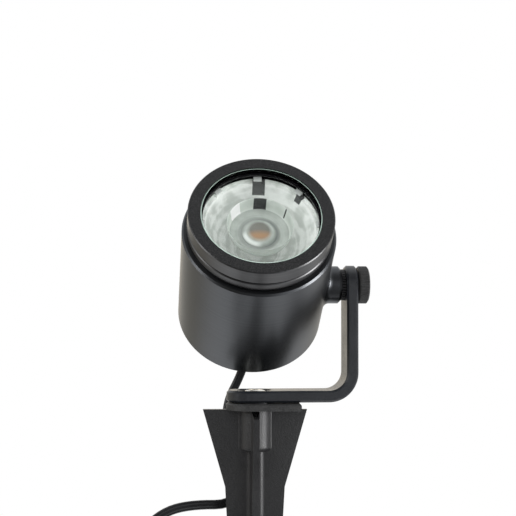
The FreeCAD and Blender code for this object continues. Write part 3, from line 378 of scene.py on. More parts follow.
@dataclass(frozen=True)
class RingMetal(TurnedMetal):
    """Turned metal whose flat front face is blasted to a darker, speckled grain.

    Attributes:
        face: Where the front face lies along the head's axis.
    """

    face: float = 0.0457

    def blasted(self, nodes: Nodes) -> Field:
        """Where the front face is."""
        return nodes.along(HEAD_AXIS, HEAD_PIVOT).step(self.face - 0.0002, self.face - 0.0001)

    def tint(self, nodes: Nodes, tone: Field) -> bpy.types.NodeSocket:
        """Turned tone on the sides, darker specks on the face."""
        specks = nodes.noise(self.grain, 2.0).step(0.35, 0.75)
        speckled = nodes.blend(specks, shaded(self.colour, 0.6), shaded(self.colour, 1.15))
        return nodes.blend(self.blasted(nodes), super().tint(nodes, tone), speckled)

    def relief(self, nodes: Nodes) -> Field:
        """Turning marks on the sides and grain on the face."""
        face = self.blasted(nodes)
        rings = nodes.noise_along(nodes.along(HEAD_AXIS, HEAD_PIVOT), self.pitch, 2.0)
        return rings * (1 - face) * 0.5 + nodes.noise(self.grain, 1.0) * face


@dataclass(frozen=True)
class Brushed(Finish):
    """Bare metal with brushing along one way."""

    stretch: Colour = (12.0, 1.0, 1.0)

    def relief(self, nodes: Nodes) -> Field:
        """Long thin scratches."""
        return nodes.noise(self.grain, 2.0, self.stretch)


@dataclass(frozen=True)
class PaneGlass(Finish):
    """Flat glass: nearly unseen through its faces, its ground front edge a pale green line painted bright as a
    glint.

    Attributes:
        edge: Radius where the ground edge starts.
        front: Where the edge starts along the head's axis.
        body: How much of the clear glass shows.
    """

    edge: float = 0.02285
    front: float = 0.0449
    body: float = 0.05

    def ground(self, nodes: Nodes) -> Field:
        """Where the ground edge, with its painted glint, is."""
        place = HeadPlace(nodes)
        return place.radius.step(self.edge - 0.0001, self.edge) * place.along.step(
            self.front - 0.0001, self.front)

    def tint(self, nodes: Nodes, tone: Field) -> bpy.types.NodeSocket:
        """Pale green at the ground edge, a painted glint; elsewhere black, so that only reflections show."""
        return nodes.blend(self.ground(nodes), (0.0, 0.0, 0.0), self.colour)

    def extra(self, nodes: Nodes, shader: bpy.types.Node) -> None:
        """Alpha that rises at the ground edge, where the glint is painted."""
        alpha = self.ground(nodes) * (0.95 - self.body) + self.body
        nodes.tree.links.new(alpha.socket, shader.inputs["Alpha"])


@dataclass(frozen=True)
class MouldedOptic(Finish):
    """Clear moulding with a mirrored side, a frosted well and a lens over the light source.

    Levels are along the head's axis from its pivot, and angles are round that axis. Its colour holds
    painted reflections, painted shade, a painted shadow and a painted highlight.

    Attributes:
        rim: Level of the front face.
        well: Radius of the well.
        floor: Level of the well's floor.
        wall: Radius where the well's wall starts.
        image: Radius of the light source's image in the lens.
        mark: Width of the rings in the mirrored side.
        leg: Ends, across the head, of a dark strip painted on the moulding.
        leg_low: Lowest place, up the head, at which that strip shows.
        leg_back, leg_inner: Level from which it shows through the side, and in the well's wall.
        clip: Ends of a clip's painted shadow beside the strip, as angles.
        clip_shadow_radius: Radius from which that painted shadow shows.
        slot: Ends of the painted shade of a narrow slot in the well's wall, as angles.
        slot_shade_back: Level from which the slot's painted shade shows.
        painted_reflection: Ends of a painted reflection, a nearly white patch on the wall, as angles.
        ring: Radii of the ring of painted shade round the lens, darker on one side.
        lit_crescent: Radii of the painted highlight, a light arc on the lens's edge.
    """

    rim: float = 0.0397
    well: float = 0.0129
    floor: float = 0.0334
    wall: float = 0.0115
    image: float = 0.0054
    mark: float = 0.0022
    leg: tuple = (-0.0019, 0.0031)
    leg_low: float = 0.006
    leg_back: float = 0.0338
    leg_inner: float = 0.0341
    clip: tuple = (0.66, 0.80)
    clip_shadow_radius: float = 0.0203
    slot: tuple = (0.585, 0.64)
    slot_shade_back: float = 0.0347
    painted_reflection: tuple = (2.2, 2.65)
    ring: tuple = (0.0060, 0.0080)
    lit_crescent: tuple = (0.0052, 0.0065)

    def masks(self, nodes: Nodes) -> tuple:
        """Where the clear front and the well are, and where the painted dark marks go.

        Args:
            nodes: The material's nodes.

        Returns:
            Head place, front, well, its wall, light source's image, and the painted dark strip, clip
            shadow and slot shade together. All but the first are fields from 0 to 1.
        """
        place = HeadPlace(nodes)
        front = place.along.step(self.rim - 0.0001, self.rim - 0.00005)
        well = place.radius.step(self.well, self.well - 0.0001) * place.along.step(
            self.floor - 0.0005, self.floor - 0.0003)
        wall = well * place.radius.step(self.wall, self.wall + 0.0002)
        source = place.radius.step(self.image, self.image * 0.6) * well
        # Painted dark strip across the head, low on the moulding.
        strip = place.up.step(self.leg_low, self.leg_low + 0.0005) * place.across.between(
            *self.leg, 0.0002)
        behind = place.along.step(self.leg_back, self.leg_back + 0.0002) * (1 - well)
        # Painted shadow of a clip, beside the strip.
        clip = place.angle.between(*self.clip, 0.01) * place.radius.step(
            self.clip_shadow_radius, self.clip_shadow_radius + 0.0002)
        # Painted shade of a narrow slot in the well's wall.
        slot = place.angle.between(*self.slot, 0.01) * wall * place.along.step(
            self.slot_shade_back, self.slot_shade_back + 0.0002)
        inner = wall * place.along.step(self.leg_inner, self.leg_inner + 0.0002)
        dark = (strip * behind.larger(inner)).larger(clip).larger(slot) * (1 - front)
        return place, front, well, wall, source, dark

    def tone(self, nodes: Nodes) -> Field:
        """Rings round the axis, broken by clouds."""
        rings = nodes.noise_along(nodes.away(HEAD_AXIS, HEAD_PIVOT), self.mark, 2.0)
        return rings * 0.45 + nodes.noise(self.cloud, 2.0) * 0.55

    def tint(self, nodes: Nodes, tone: Field) -> bpy.types.NodeSocket:
        """Painted silvery reflection on the side, pale well, the light source's orange image and painted dark
        marks.
        """
        place, _, well, wall, source, dark = self.masks(nodes)
        # Painted reflection: the mirrored side's silvery colour and its clouds stand in for what it reflects.
        mirror = nodes.blend(tone.step(0.26, 0.7), shaded(self.colour, 0.72), (0.96, 1.0, 0.97))
        surface = nodes.blend(well, mirror, nodes.blend(
            wall, self.floor_tint(nodes, tone, place), self.wall_tint(nodes, tone, place)))
        sunk = nodes.blend(place.up.step(-0.0028, 0.0006), (0.36, 0.22, 0.12), (0.17, 0.17, 0.15))
        # Near black where the dark strip, the clip's painted shadow and the slot's painted shade are.
        return nodes.blend(dark, nodes.blend(source, surface, sunk), (0.04, 0.042, 0.043))

    def floor_tint(self, nodes: Nodes, tone: Field, place: HeadPlace) -> bpy.types.NodeSocket:
        """Frosted floor with a ring of painted shade round the lens, darker on one side, and a painted highlight,
        a light arc low on the other.
        """
        frosted = nodes.blend(tone, (0.3, 0.34, 0.31), (0.5, 0.55, 0.51))
        # Painted shade: the ring round the lens is darker towards +X, the side that faces away from the right
        # lamp.
        shade = nodes.blend(place.across.step(-0.003, 0.005), (0.3, 0.33, 0.31), (0.21, 0.235, 0.22))
        frosted = nodes.blend(place.radius.between(*self.ring, 0.0016), frosted, shade)
        # Painted highlight: a light arc low on the lens's edge, towards -X, on the side that faces the right lamp.
        lit_crescent = place.radius.between(*self.lit_crescent, 0.001) * place.across.step(0.0015, -0.002)
        return nodes.blend(lit_crescent * place.up.step(0.001, -0.002), frosted, (0.76, 0.81, 0.78))

    def wall_tint(self, nodes: Nodes, tone: Field, place: HeadPlace) -> bpy.types.NodeSocket:
        """Pale wall with a painted reflection, a nearly white patch, on it."""
        wall = nodes.blend(tone, (0.5, 0.56, 0.51), (0.78, 0.84, 0.79))
        # Painted reflection: a nearly white patch on the well's wall.
        return nodes.blend(place.angle.between(*self.painted_reflection, 0.02), wall, (0.97, 0.98, 0.98))

    def extra(self, nodes: Nodes, shader: bpy.types.Node) -> None:
        """Clear front, nearly opaque well and a side that is part mirror."""
        _, front, well, _, source, dark = self.masks(nodes)
        half = (1 - well) + well * 0.85
        alpha = (half * (1 - front) + front * 0.06).larger(dark).larger(source * 0.9)
        metal = (1 - front) * (1 - well) * (1 - dark) * 0.12
        nodes.tree.links.new(alpha.socket, shader.inputs["Alpha"])
        nodes.tree.links.new(metal.socket, shader.inputs["Metallic"])


@dataclass(frozen=True)
class Woven(Finish):
    """Woven strap: threads that cross at right angles."""

    def relief(self, nodes: Nodes) -> Field:
        """Sines of the place along X plus Y and along Z, multiplied."""
        turn = 2 * math.pi / self.grain
        across = nodes.along((1, 1, 0), (0, 0, 0)) * turn
        up = nodes.along((0, 0, 1), (0, 0, 0)) * turn
        return across.wave() * up.wave() * 0.5 + 0.5


class Look(Enum):
    """Every finish on the object, by the record's slot."""

    HOUSING = TurnedMetal("housing_finish", (0.1, 0.104, 0.11), 0.32, 0.12, 0.02,
                          0.0003, 0.000002, metal=1.0)
    RING = RingMetal("ring_finish", (0.108, 0.108, 0.11), 0.32, 0.12, 0.01,
                     0.0004, 0.000008, metal=1.0)
    BRACKET = Speckled("bracket_finish", (0.0064, 0.008, 0.0112), 0.34, 0.5, 0.008, 0.0005,
                       0.00005, gloss=0.9)
    SPIKE = Speckled("spike_plastic", (0.0105, 0.0105, 0.0115), 0.42, 0.7, 0.02, 0.0004, 0.0001,
                     gloss=0.9)
    PLATE = Speckled("plate_plastic", (0.024, 0.024, 0.0243), 0.5, 0.5, 0.003, 0.0005, 0.0001)
    KNOB = Speckled("knob_finish", (0.023, 0.023, 0.0232), 0.45, 0.5, 0.002, 0.0004, 0.00006)
    STEEL = Brushed("steel", (0.88, 0.87, 0.82), 0.25, 0.1, metal=1.0, depth=0.000004)
    BLACK_STEEL = Finish("black_steel", (0.008, 0.008, 0.009), 0.35, 0.5, 0.001)
    RUBBER = Finish("black_rubber", (0.006, 0.006, 0.007), 0.22)
    BRASS = Brushed("brass", (0.72, 0.53, 0.26), 0.3, metal=1.0)
    PANE = PaneGlass("glass", (0.62, 0.78, 0.7), 0.05, 0.02, gloss=0.3, depth=0.0)
    OPTIC = MouldedOptic("clear_optic", (0.9, 0.96, 0.91), 0.24, 0.3, 0.005, 0.004, 0.00012)
    HOLDER = Finish("holder_plastic", (0.75, 0.8, 0.77), 0.2, alpha=0.45)
    ALUMINIUM = Brushed("bare_aluminium", (0.62, 0.62, 0.63), 0.35, metal=1.0)
    BOARD = Finish("led_board", (0.8, 0.8, 0.78), 0.45)
    PHOSPHOR = Finish("phosphor", (0.85, 0.45, 0.16), 0.35, 0.15, 0.001)
    CIRCUIT = Finish("circuit_board", (0.03, 0.16, 0.07), 0.4)
    COMPONENT = Finish("component_black", (0.02, 0.02, 0.02), 0.45)
    GLAND = Finish("gland_plastic", (0.02, 0.02, 0.021), 0.45)
    SHEATH = Finish("cord_sheath", (0.007, 0.007, 0.008), 0.3, 0.15, 0.01, 0.0004, 0.00001)
    STRAP = Woven("tie_strap", (0.02, 0.02, 0.02), 0.8, 0.2, grain=0.0012, depth=0.00015)
    PLUG = Finish("plug_plastic", (0.018, 0.018, 0.02), 0.45, 0.15, 0.01, 0.0005, 0.00002)
    PIN = Brushed("pin_metal", (0.75, 0.75, 0.72), 0.2, 0.1, metal=1.0, depth=0.000002)

    def material(self) -> bpy.types.Material:
        """The finish's material, made once."""
        return bpy.data.materials.get(self.value.name + ".look") or self._named()

    def _named(self) -> bpy.types.Material:
        """Makes the material under a name apart from the imported one."""
        made = self.value.material()
        made.name = self.value.name + ".look"
        return made


class CadPieces:
    """The rigid CAD pieces, which keep their shape and get their finish."""

    def __init__(self, record: dict, nodes: dict) -> None:
        self.slots = {part["node"]: part["material_slot"] for part in record["subparts"]}
        self.nodes = nodes
        self.looks = {look.value.name: look for look in Look}

    def dress(self) -> None:
        """Puts every node's finish on its material slots."""
        for name, piece in sorted(self.nodes.items()):
            look = self.looks[self.slots[name]]
            for slot in piece.material_slots:
                slot.material = look.material()
            log.info("%s: %s", name, look.value.name)


# ---- the lead ----

def centre_line(points: np.ndarray, divisions: int) -> np.ndarray:
    """Points along a smooth line.

    Args:
        points: Control points of a NURBS spline of order 3 that ends on its end points.
        divisions: Points per control point.

    Returns:
        The line's points, as an (n, 3) array.
    """
    curve = bpy.data.curves.new("centre_line", "CURVE")
    curve.dimensions = "3D"
    curve.resolution_u = divisions
    spline = curve.splines.new("NURBS")
    spline.points.add(len(points) - 1)
    spline.points.foreach_set("co", np.c_[points, np.ones(len(points))].ravel())
    spline.order_u = 3
    spline.use_endpoint_u = True
    carrier = bpy.data.objects.new("centre_line", curve)
    mesh = bpy.data.meshes.new_from_object(carrier)
    line = np.empty(len(mesh.vertices) * 3)
    mesh.vertices.foreach_get("co", line)
    bpy.data.meshes.remove(mesh)
    bpy.data.objects.remove(carrier)
    bpy.data.curves.remove(curve)
    return line.reshape(-1, 3)


def length_of(line: np.ndarray) -> float:
    """Length of a line of points."""
    return float(np.linalg.norm(np.diff(line, axis=0), axis=1).sum())


def grid_faces(rows: int, columns: int) -> np.ndarray:
    """Quads of a grid whose columns close on themselves.

    Args:
        rows: Rows of vertices.
        columns: Vertices in a row.

    Returns:
        The quads as an (n, 4) array of vertex numbers.
    """
    row, column = np.meshgrid(np.arange(rows - 1), np.arange(columns), indexing="ij")
    after = (column + 1) % columns
    corners = (row * columns + column, row * columns + after,
               (row + 1) * columns + after, (row + 1) * columns + column)
    return np.stack(corners, axis=-1).reshape(-1, 4)


def new_piece(name: str, points: np.ndarray, faces: list, look: Look) -> bpy.types.Object:
    """Makes a piece from its surface, smooth apart from its sharp edges.

    Args:
        name: Name of the piece.
        points: Vertices, in metres in the part's frame.
        faces: Lists of vertex numbers.
        look: Its finish.

    Returns:
        The piece's object, at the origin.
    """
    mesh = bpy.data.meshes.new(name)
    mesh.from_pydata(points.reshape(-1, 3).tolist(), [], [list(map(int, face)) for face in faces])
    mesh.shade_smooth()
    mesh.set_sharp_from_angle(angle=SHARP)
    mesh.materials.append(look.material())
    mesh.validate()
    piece = bpy.data.objects.new(name, mesh)
    bpy.context.scene.collection.objects.link(piece)
    return piece


@dataclass
class Optic:
    """The clear optic behind the glass, turned about the head's axis.

    Attributes:
        rim: Front face, from the pivot along the head's axis.
        flange: Thickness of the flange.
        flange_radius, shoulder: Radius of the flange and of the moulding under it.
        notch_radius, notch_width: Notches in the flange for the holder's clips.
        clips: Number of clips.
        foot: Radius and level of the back end.
        bulge: Curve of the reflecting side.
        mouth, well: Radius of the well at its mouth and at its floor.
        edge: Depth of the bevel at the flange's front edge.
        lip: Radius of the round at the well's mouth.
        floor: Level of the well's floor.
        lens: Radius of the lens in the floor.
        lens_rise: Height of the lens over the floor.
        cove: Radius of the round between the well's wall and floor.
        columns: Points round the axis.
    """

    rim: float = 39.7 * MM
    flange: float = 1.6 * MM
    flange_radius: float = 22.9 * MM
    shoulder: float = 21.4 * MM
    notch_radius: float = 21.5 * MM
    notch_width: float = 3.5 * MM
    clips: int = 8
    foot: tuple = (8.0 * MM, 22.6 * MM)
    bulge: float = 34.0 * MM
    mouth: float = 12.8 * MM
    well: float = 12.2 * MM
    edge: float = 0.2 * MM
    lip: float = 0.3 * MM
    floor: float = 33.6 * MM
    lens: float = 6.7 * MM
    lens_rise: float = 2.2 * MM
    cove: float = 2.4 * MM
    columns: int = 720

    def side(self, count: int) -> tuple:
        """Radius and level along the reflecting side.

        A circular arc of the given radius from the foot to the shoulder, bulging outwards:
        centre + bulge (cos a, sin a), with a from the foot's angle to the shoulder's.

        Args:
            count: Number of points.

        Returns:
            Radii and levels.
        """
        start = np.array(self.foot)
        end = np.array((self.shoulder, self.rim - self.flange))
        chord = end - start
        length = np.hypot(*chord)
        inwards = np.array((-chord[1], chord[0])) / length
        centre = (start + end) / 2 + inwards * math.sqrt(self.bulge ** 2 - length ** 2 / 4)
        first, last = (math.atan2(*(point - centre)[::-1]) for point in (start, end))
        angle = np.linspace(first, last, count)
        return centre[0] + self.bulge * np.cos(angle), centre[1] + self.bulge * np.sin(angle)

    def cap(self, radius: float, rise: float, level: float, count: int) -> tuple:
        """Radius and level along a round cap, from its edge to its middle.

        Level + rise (1 - (r / radius)^2), where r falls evenly from radius to nearly 0.

        Args:
            radius: Radius of the cap's edge.
            rise: Height of its middle over its edge.
            level: Level of its edge.
            count: Number of points.

        Returns:
            Radii and levels.
        """
        across = np.linspace(radius, radius * 0.01, count)
        return across, level + rise * (1 - (across / radius) ** 2)

    def profile(self) -> tuple:
        """Radius and level of the outline: foot, side, flange, front, well and lens."""
        side = self.side(24)
        wall = np.linspace(0, 1, 8)
        front = np.linspace(self.flange_radius - self.edge, self.mouth + self.lip, 10)
        soft = np.linspace(0, math.pi / 2, 5)
        parts = [
            ([0.01 * MM, self.foot[0] * 0.98], [self.foot[1]] * 2),
            side,
            ([self.flange_radius] * 2, [self.rim - self.flange, self.rim - self.edge]),
            (front, np.full(len(front), self.rim)),
            (self.mouth + self.lip * (1 - np.sin(soft)), self.rim - self.lip * (1 - np.cos(soft))),
            (self.mouth + (self.well - self.mouth) * wall,
             self.rim - self.lip + (self.floor + self.cove + self.lip - self.rim) * wall),
            (self.well - self.cove * (1 - np.cos(soft)), self.floor + self.cove * (1 - np.sin(soft))),
            ([self.lens + 0.5 * MM, self.lens + 0.15 * MM, self.lens],
             [self.floor, self.floor, self.floor + 0.35 * MM]),
            self.cap(self.lens - 0.1 * MM, self.lens_rise, self.floor + 0.4 * MM, 14)]
        return tuple(np.concatenate([np.asarray(part[axis], float) for part in parts])
                     for axis in (0, 1))

    def build(self) -> None:
        """Turns the profile, cuts the flange's notches and puts the optic in the head."""
        radius, level = self.profile()
        angle = np.linspace(0, 2 * math.pi, self.columns, endpoint=False)
        step = 2 * math.pi / self.clips
        beside = np.abs(np.mod(angle + step / 2, step) - step / 2) * self.flange_radius
        widest = np.where(beside < self.notch_width / 2, self.notch_radius, self.flange_radius)
        around = np.minimum(radius[:, None], widest[None, :])
        across = np.array((1.0, 0.0, 0.0))
        points = (HEAD_PIVOT + level[:, None, None] * HEAD_AXIS
                  + around[..., None] * (np.cos(angle)[None, :, None] * across
                                         + np.sin(angle)[None, :, None] * HEAD_UP))
        faces = grid_faces(len(radius), self.columns).tolist()
        last = (len(radius) - 1) * self.columns
        faces.append(list(range(self.columns))[::-1])
        faces.append([last + number for number in range(self.columns)])
        piece = new_piece("optic_moulding", points, faces, Look.OPTIC)
        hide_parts("optic")
        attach(piece, "head")
        log.info("optic_moulding: %d faces", len(faces))


@dataclass
class Lead:
    """The two-core lead: its hanging stretches and its coil on the ground.

    Attributes:
        radius: Half of its width.
        flat: Its thickness, as a share of its width.
        groove: Depth of the groove between its cores, as a share of the radius.
        groove_width: Half width of that groove, as an angle round the section.
        front: Where the groove faces while the lead hangs.
        sides: Vertices round its section.
        sleeve_end: Gland sleeve's end, from the pivot back along the head's axis.
        sleeve_run: First straight run out of the sleeve.
        landing_run: Last run before the coil.
        upper, middle, lower: Control points between the stretches' ends.
        still: Number of the upper line's point from which it no longer follows the head; not used.
        meeting: Where one stretch ends and the next starts, as a share of the run between them.
        coil_centre: Centre of the coil on the ground.
        coil_outer: Outermost turn's centre line.
        pitch: From one turn or layer to the next.
        layer_low: Centre line of the lower layer above the ground.
        lead_out: Straight run into and out of the coil.
        half_turns: Half turns in, then as many out again.
        turn_points: Control points in one half turn.
    """

    radius: float = 1.95 * MM
    flat: float = 0.8
    groove: float = 0.3
    groove_width: float = 0.42
    front: tuple = (0.17, -0.98, 0.0)
    sides: int = 20
    sleeve_end: float = 38.7 * MM
    sleeve_run: float = 12 * MM
    landing_run: float = 13 * MM
    upper: tuple = ((-0.6, 45.6, 14.0),)
    middle: tuple = ((-8.0, 47.2, -0.5), (-9.2, 41.0, -12.5))
    lower: tuple = ((-9.4, 22.4, -22.0), (-6.2, 13.8, -30.6), (-8.2, 9.2, -40.2),
                    (-24.4, 3.8, -38.9), (-35.8, 0.7, -40.6), (-44.8, -2.0, -47.2),
                    (-50.2, -5.0, -58.6), (-52.2, -8.6, -76.0), (-52.2, -12.8, -101.0),
                    (-49.4, -18.8, -127.0), (-47.6, -20.4, -151.0), (-46.7, -17.6, -170.0),
                    (-46.7, -8.0, -183.2))
    still: int = 22
    meeting: float = 0.68
    coil_centre: tuple = (-72.2 * MM, 22 * MM)
    coil_outer: float = 25.5 * MM
    pitch: float = 4.4 * MM
    layer_low: float = 2.35 * MM
    lead_out: float = 3.3 * MM
    half_turns: int = 6
    turn_points: int = 8

    def coil_points(self) -> np.ndarray:
        """Control points of the coil.

        The radius falls by half a pitch each half turn, stays while the line climbs one layer
        over a half turn, and grows again. Centre + radius (cos a, sin a), a = pi x half turns.

        Returns:
            The points, as an (n, 3) array, with a straight lead-in and lead-out.
        """
        total = 2 * self.half_turns + 1
        turn = np.linspace(0, total, total * self.turn_points + 1)
        inner = self.coil_outer - self.pitch / 2 * self.half_turns
        radius = inner + self.pitch / 2 * np.maximum(
            np.maximum(self.half_turns - turn, turn - self.half_turns - 1), 0)
        rise = np.clip(turn - self.half_turns, 0, 1)
        height = GROUND + self.layer_low + self.pitch * rise
        angle = math.pi * turn
        coil = np.stack((self.coil_centre[0] + radius * np.cos(angle),
                         self.coil_centre[1] + radius * np.sin(angle), height), axis=1)
        straight = np.array((0, self.lead_out, 0))
        return np.vstack((coil[0] - straight, coil, coil[-1] - straight))

    def stretches(self) -> list:
        """Control points of the upper, middle and lower stretch, the last with the coil."""
        head_exit = HEAD_PIVOT - HEAD_AXIS * self.sleeve_end
        first = head_exit - HEAD_AXIS * self.sleeve_run
        upper, middle, lower = (np.array(run) * MM for run in (self.upper, self.middle, self.lower))
        coil = self.coil_points()
        landing = coil[0] - np.array((0, self.landing_run, 0))
        one = upper[-1] + (middle[0] - upper[-1]) * self.meeting
        two = middle[-1] + (lower[0] - middle[-1]) * self.meeting
        return [np.vstack((head_exit, first, upper, one)), np.vstack((one, middle, two)),
                np.vstack((two, lower, landing, coil))]

    def section(self) -> tuple:
        """Outline of the section: two cores side by side, joined by a web.

        An oval, radius s (flat cos a, sin a), where s = 1 - groove exp(-(w / groove_width)^2)
        and w is the angle to the nearer groove.

        Returns:
            How far each point is towards the groove, and how far it is to the side.
        """
        angle = np.linspace(0, 2 * math.pi, self.sides, endpoint=False)
        beside = np.minimum(np.mod(angle, math.pi), math.pi - np.mod(angle, math.pi))
        size = self.radius * (1 - self.groove * np.exp(-(beside / self.groove_width) ** 2))
        return size * np.cos(angle) * self.flat, size * np.sin(angle)

    def facings(self, ways: np.ndarray, lies: bool) -> np.ndarray:
        """Where the groove faces at each point of a line.

        Args:
            ways: The line's direction at each point.
            lies: Whether the line ends lying on the ground. Its groove is then carried along,
                turned no more than the line turns it. Otherwise it faces the front throughout.

        Returns:
            The ways, square to the line.
        """
        front = np.array(self.front)
        facing = front - ways * (ways @ front)[:, None]
        facing /= np.linalg.norm(facing, axis=1)[:, None]
        if lies:
            for number, way in enumerate(ways[1:], 1):
                carried = facing[number - 1] - way * way.dot(facing[number - 1])
                facing[number] = carried / np.linalg.norm(carried)
        return facing

    def tube(self, name: str, line: np.ndarray, lies: bool) -> bpy.types.Object:
        """A grooved tube along a line.

        Args:
            name: Name of the piece.
            line: The line's points.
            lies: Whether it ends lying on the ground.

        Returns:
            The piece. Each ring of it is the section, square to the line.
        """
        ways = np.gradient(line, axis=0)
        ways /= np.linalg.norm(ways, axis=1)[:, None]
        facing = self.facings(ways, lies)
        across = np.cross(ways, facing)
        towards, aside = self.section()
        rings = (line[:, None] + facing[:, None] * towards[None, :, None]
                 + across[:, None] * aside[None, :, None])
        count = len(line)
        faces = grid_faces(count, self.sides)[:, ::-1].tolist()
        faces.append(list(range(self.sides)))
        faces.append([(count - 1) * self.sides + number for number in range(self.sides)][::-1])
        return new_piece(name, rings, faces, Look.SHEATH)

    def build(self) -> None:
        """Lays the three stretches, hides the CAD cord pieces and logs each one's length."""
        upper, middle, lower = self.stretches()
        lines = [centre_line(upper, 10), centre_line(middle, 10), centre_line(lower, 5)]
        pieces = [self.tube(name, line, lies=name == "lead_lower") for name, line in
                  zip(("lead_upper", "lead_middle", "lead_lower"), lines)]
        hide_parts("cord_upper")
        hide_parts("cord_middle")
        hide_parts("cord_lower", "cord_coil")
        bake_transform(pieces[0])
        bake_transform(pieces[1])
        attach(pieces[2], "spike")
        for piece, line, end in zip(pieces, lines, ("object", "object", "plug")):
            2 * self.radius
            log.info("%s: %.1f mm", piece.name, length_of(line) / MM)


# ---- the studio ----

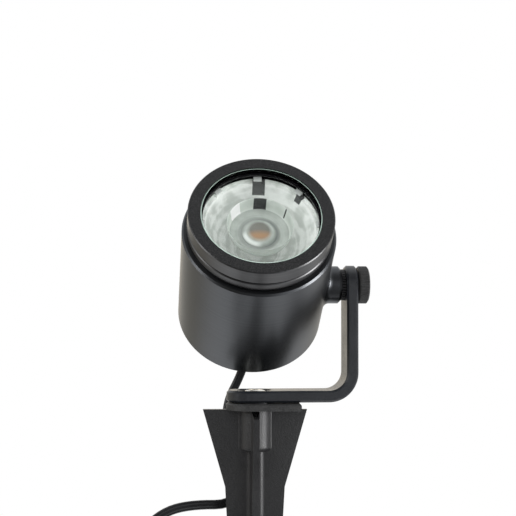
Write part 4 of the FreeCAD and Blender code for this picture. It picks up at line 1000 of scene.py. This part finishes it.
@dataclass
class Studio:
    """Camera at the photograph's place, pale floor, soft lamps and a white surround.

    Attributes:
        camera_at: Camera's place.
        camera_right, camera_down: Ways of the picture's right and down.
        focal: Focal length in picture widths.
        floor_radius: Radius of the floor that shows.
        floor_tone: Grey of the floor.
        room, shade, side: What metal mirrors beyond the object: white, the darker parts of it to
            the left and right, and the grey at its right.
        grazed_low, grazed_high: What it mirrors straight beyond, under and over eye level.
        ceiling, dark, window: What it mirrors overhead, behind the camera and right of that.
        even, beam: Light that falls on plain surfaces, all round and from where the lamp looks.
    """

    camera_at: tuple = (-43.65 * MM, -468.81 * MM, 43.86 * MM)
    camera_right: tuple = (0.99545934, -0.0951766, 0.00145453)
    camera_down: tuple = (0.00504997, 0.03754666, -0.99928212)
    focal: float = 1149.35 / 516
    floor_radius: float = 0.6
    floor_tone: Colour = (0.86, 0.86, 0.86)
    room: Colour = (0.98, 0.99, 1.0)
    shade: Colour = (0.46, 0.435, 0.375)
    side: Colour = (0.34, 0.34, 0.36)
    grazed_low: Colour = (1.08, 1.0, 0.86)
    grazed_high: Colour = (1.5, 1.35, 1.1)
    ceiling: Colour = (0.8, 0.81, 0.82)
    dark: Colour = (0.0, 0.0, 0.0)
    window: Colour = (0.95, 0.97, 1.0)
    even: Colour = (0.62, 0.62, 0.62)
    beam: Colour = (1.7, 1.7, 1.7)

    def camera(self) -> None:
        """Sets the camera, whose Z points back from the picture."""
        data = bpy.data.cameras.new("camera")
        data.sensor_width = 36
        data.lens = self.focal * data.sensor_width
        data.clip_start = 0.01
        right, up = Vector(self.camera_right), -Vector(self.camera_down)
        turn = Matrix((right, up, right.cross(up))).transposed()
        camera = bpy.data.objects.new("camera", data)
        camera.matrix_world = Matrix.Translation(self.camera_at) @ turn.to_4x4()
        bpy.context.scene.collection.objects.link(camera)
        bpy.context.scene.camera = camera

    def lamp(self, name: str, at: tuple, towards: tuple, width: float, power: float) -> None:
        """Adds a soft square lamp.

        Args:
            name: Its name.
            at: Its place.
            towards: The point it faces.
            width: Its width.
            power: Its power in watts.
        """
        data = bpy.data.lights.new(name, "AREA")
        data.shape = "SQUARE"
        data.size = width
        data.energy = power
        lamp = bpy.data.objects.new(name, data)
        way = Vector(towards) - Vector(at)
        lamp.matrix_world = Matrix.Translation(at) @ way.to_track_quat("-Z", "Y").to_matrix().to_4x4()
        lamp.visible_camera = False
        bpy.context.scene.collection.objects.link(lamp)

    def floor(self) -> None:
        """A pale disc at the spike's point that fades into the white surround."""
        angle = np.linspace(0, 2 * math.pi, 96, endpoint=False)
        rim = np.stack((np.cos(angle), np.sin(angle), np.zeros(96)), axis=1) * self.floor_radius
        rim[:, 2] = GROUND
        mesh = bpy.data.meshes.new("floor")
        mesh.from_pydata(rim.tolist(), [], [list(range(96))])
        made = bpy.data.materials.new("floor")
        made.use_nodes = True
        nodes = Nodes(made.node_tree)
        radius = nodes.away((0, 0, 1), (0, 0, 0))
        alpha = radius.step(self.floor_radius * 0.98, self.floor_radius * 0.45)
        shader = nodes.add("BsdfPrincipled", inputs={
            "Base Color": (*self.floor_tone, 1), "Roughness": 0.9, "Alpha": alpha})
        output = nodes.add("OutputMaterial")
        made.node_tree.links.new(shader.outputs[0], output.inputs[0])
        mesh.materials.append(made)
        floor = bpy.data.objects.new("floor", mesh)
        floor.visible_glossy = False
        bpy.context.scene.collection.objects.link(floor)

    def mirrored(self, nodes: Nodes, across: Field, ahead: Field,
                 up: Field) -> bpy.types.NodeSocket:
        """What shiny surfaces mirror, by its way from the object.

        Args:
            nodes: The world's nodes.
            across, ahead, up: The way's shares along X, Y and Z.

        Returns:
            A room that is pale beyond the object and overhead, shaded at its sides and nearly
            black behind the camera, but for a window right of it.
        """
        left = across.step(-0.1, -0.5) * up.step(-0.8, -0.3)
        right = across.step(0.15, 0.4) * ahead.step(0.6, 0.9)
        beside = across.step(0.4, 0.6) * ahead.step(0.6, 0.3)
        walls = nodes.blend(left.larger(right * 0.8), self.room, self.shade)
        walls = nodes.blend(beside, walls, self.side)
        grazed = nodes.blend(up.step(0.0, 0.06), self.grazed_low, self.grazed_high)
        walls = nodes.blend(ahead.step(0.93, 0.985), walls, grazed)
        sweep = nodes.blend(up.step(0.45, 0.1), self.ceiling, walls)
        beyond = ahead.step(-0.6, 0.3) * 0.85 + 0.15
        sweep = nodes.blend(beyond, self.dark, sweep)
        pane = across.between(0.3, 0.7, 0.08) * up.between(-0.35, 0.3, 0.1)
        return nodes.blend(pane * ahead.step(-0.5, -0.6), sweep, self.window)

    def surround(self) -> None:
        """White to the camera, a room to shiny surfaces, and soft light to all others."""
        world = bpy.data.worlds.new("surround")
        world.use_nodes = True
        nodes = Nodes(world.node_tree)
        split = nodes.add("SeparateXYZ", inputs={0: nodes.add("TexCoord").outputs["Generated"]})
        across, ahead, up = (Field(nodes, split.outputs[name]) for name in "XYZ")
        facing = (across * HEAD_AXIS[0] + ahead * HEAD_AXIS[1] + up * HEAD_AXIS[2]).step(0.2, 0.9)
        colours = (nodes.blend(facing, self.even, self.beam),
                   self.mirrored(nodes, across, ahead, up), (1, 1, 1, 1))
        plain, shiny, white = (
            nodes.add("Background", inputs={"Color": colour, "Strength": 1.0}).outputs[0]
            for colour in colours)
        seen = nodes.add("LightPath").outputs
        room = nodes.add("MixShader", inputs={0: seen["Is Glossy Ray"], 1: plain, 2: shiny})
        mix = nodes.add("MixShader", inputs={
            0: seen["Is Camera Ray"], 1: room.outputs[0], 2: white})
        output = nodes.add("OutputWorld")
        world.node_tree.links.new(mix.outputs[0], output.inputs[0])
        bpy.context.scene.world = world

    def build(self) -> None:
        """Sets up the whole studio."""
        self.camera()
        self.floor()
        self.surround()
        self.lamp("right", (0.86, -0.46, 0.0), (0, 0, -0.03), 0.36, 5)
        self.lamp("left", (-0.8, -0.5, 0.4), (0, 0, 0.02), 0.5, 3)
        view = bpy.context.scene.view_settings
        view.view_transform = "Standard"


def main() -> None:
    """Builds the studio and dresses the spotlight."""
    logging.basicConfig(level=logging.INFO, format="%(name)s: %(message)s")
    Studio().build()
    Lead().build()
    Optic().build()
    CadPieces(frame["record"], frame["nodes"]).dress()


if __name__ == "__main__":
    main()
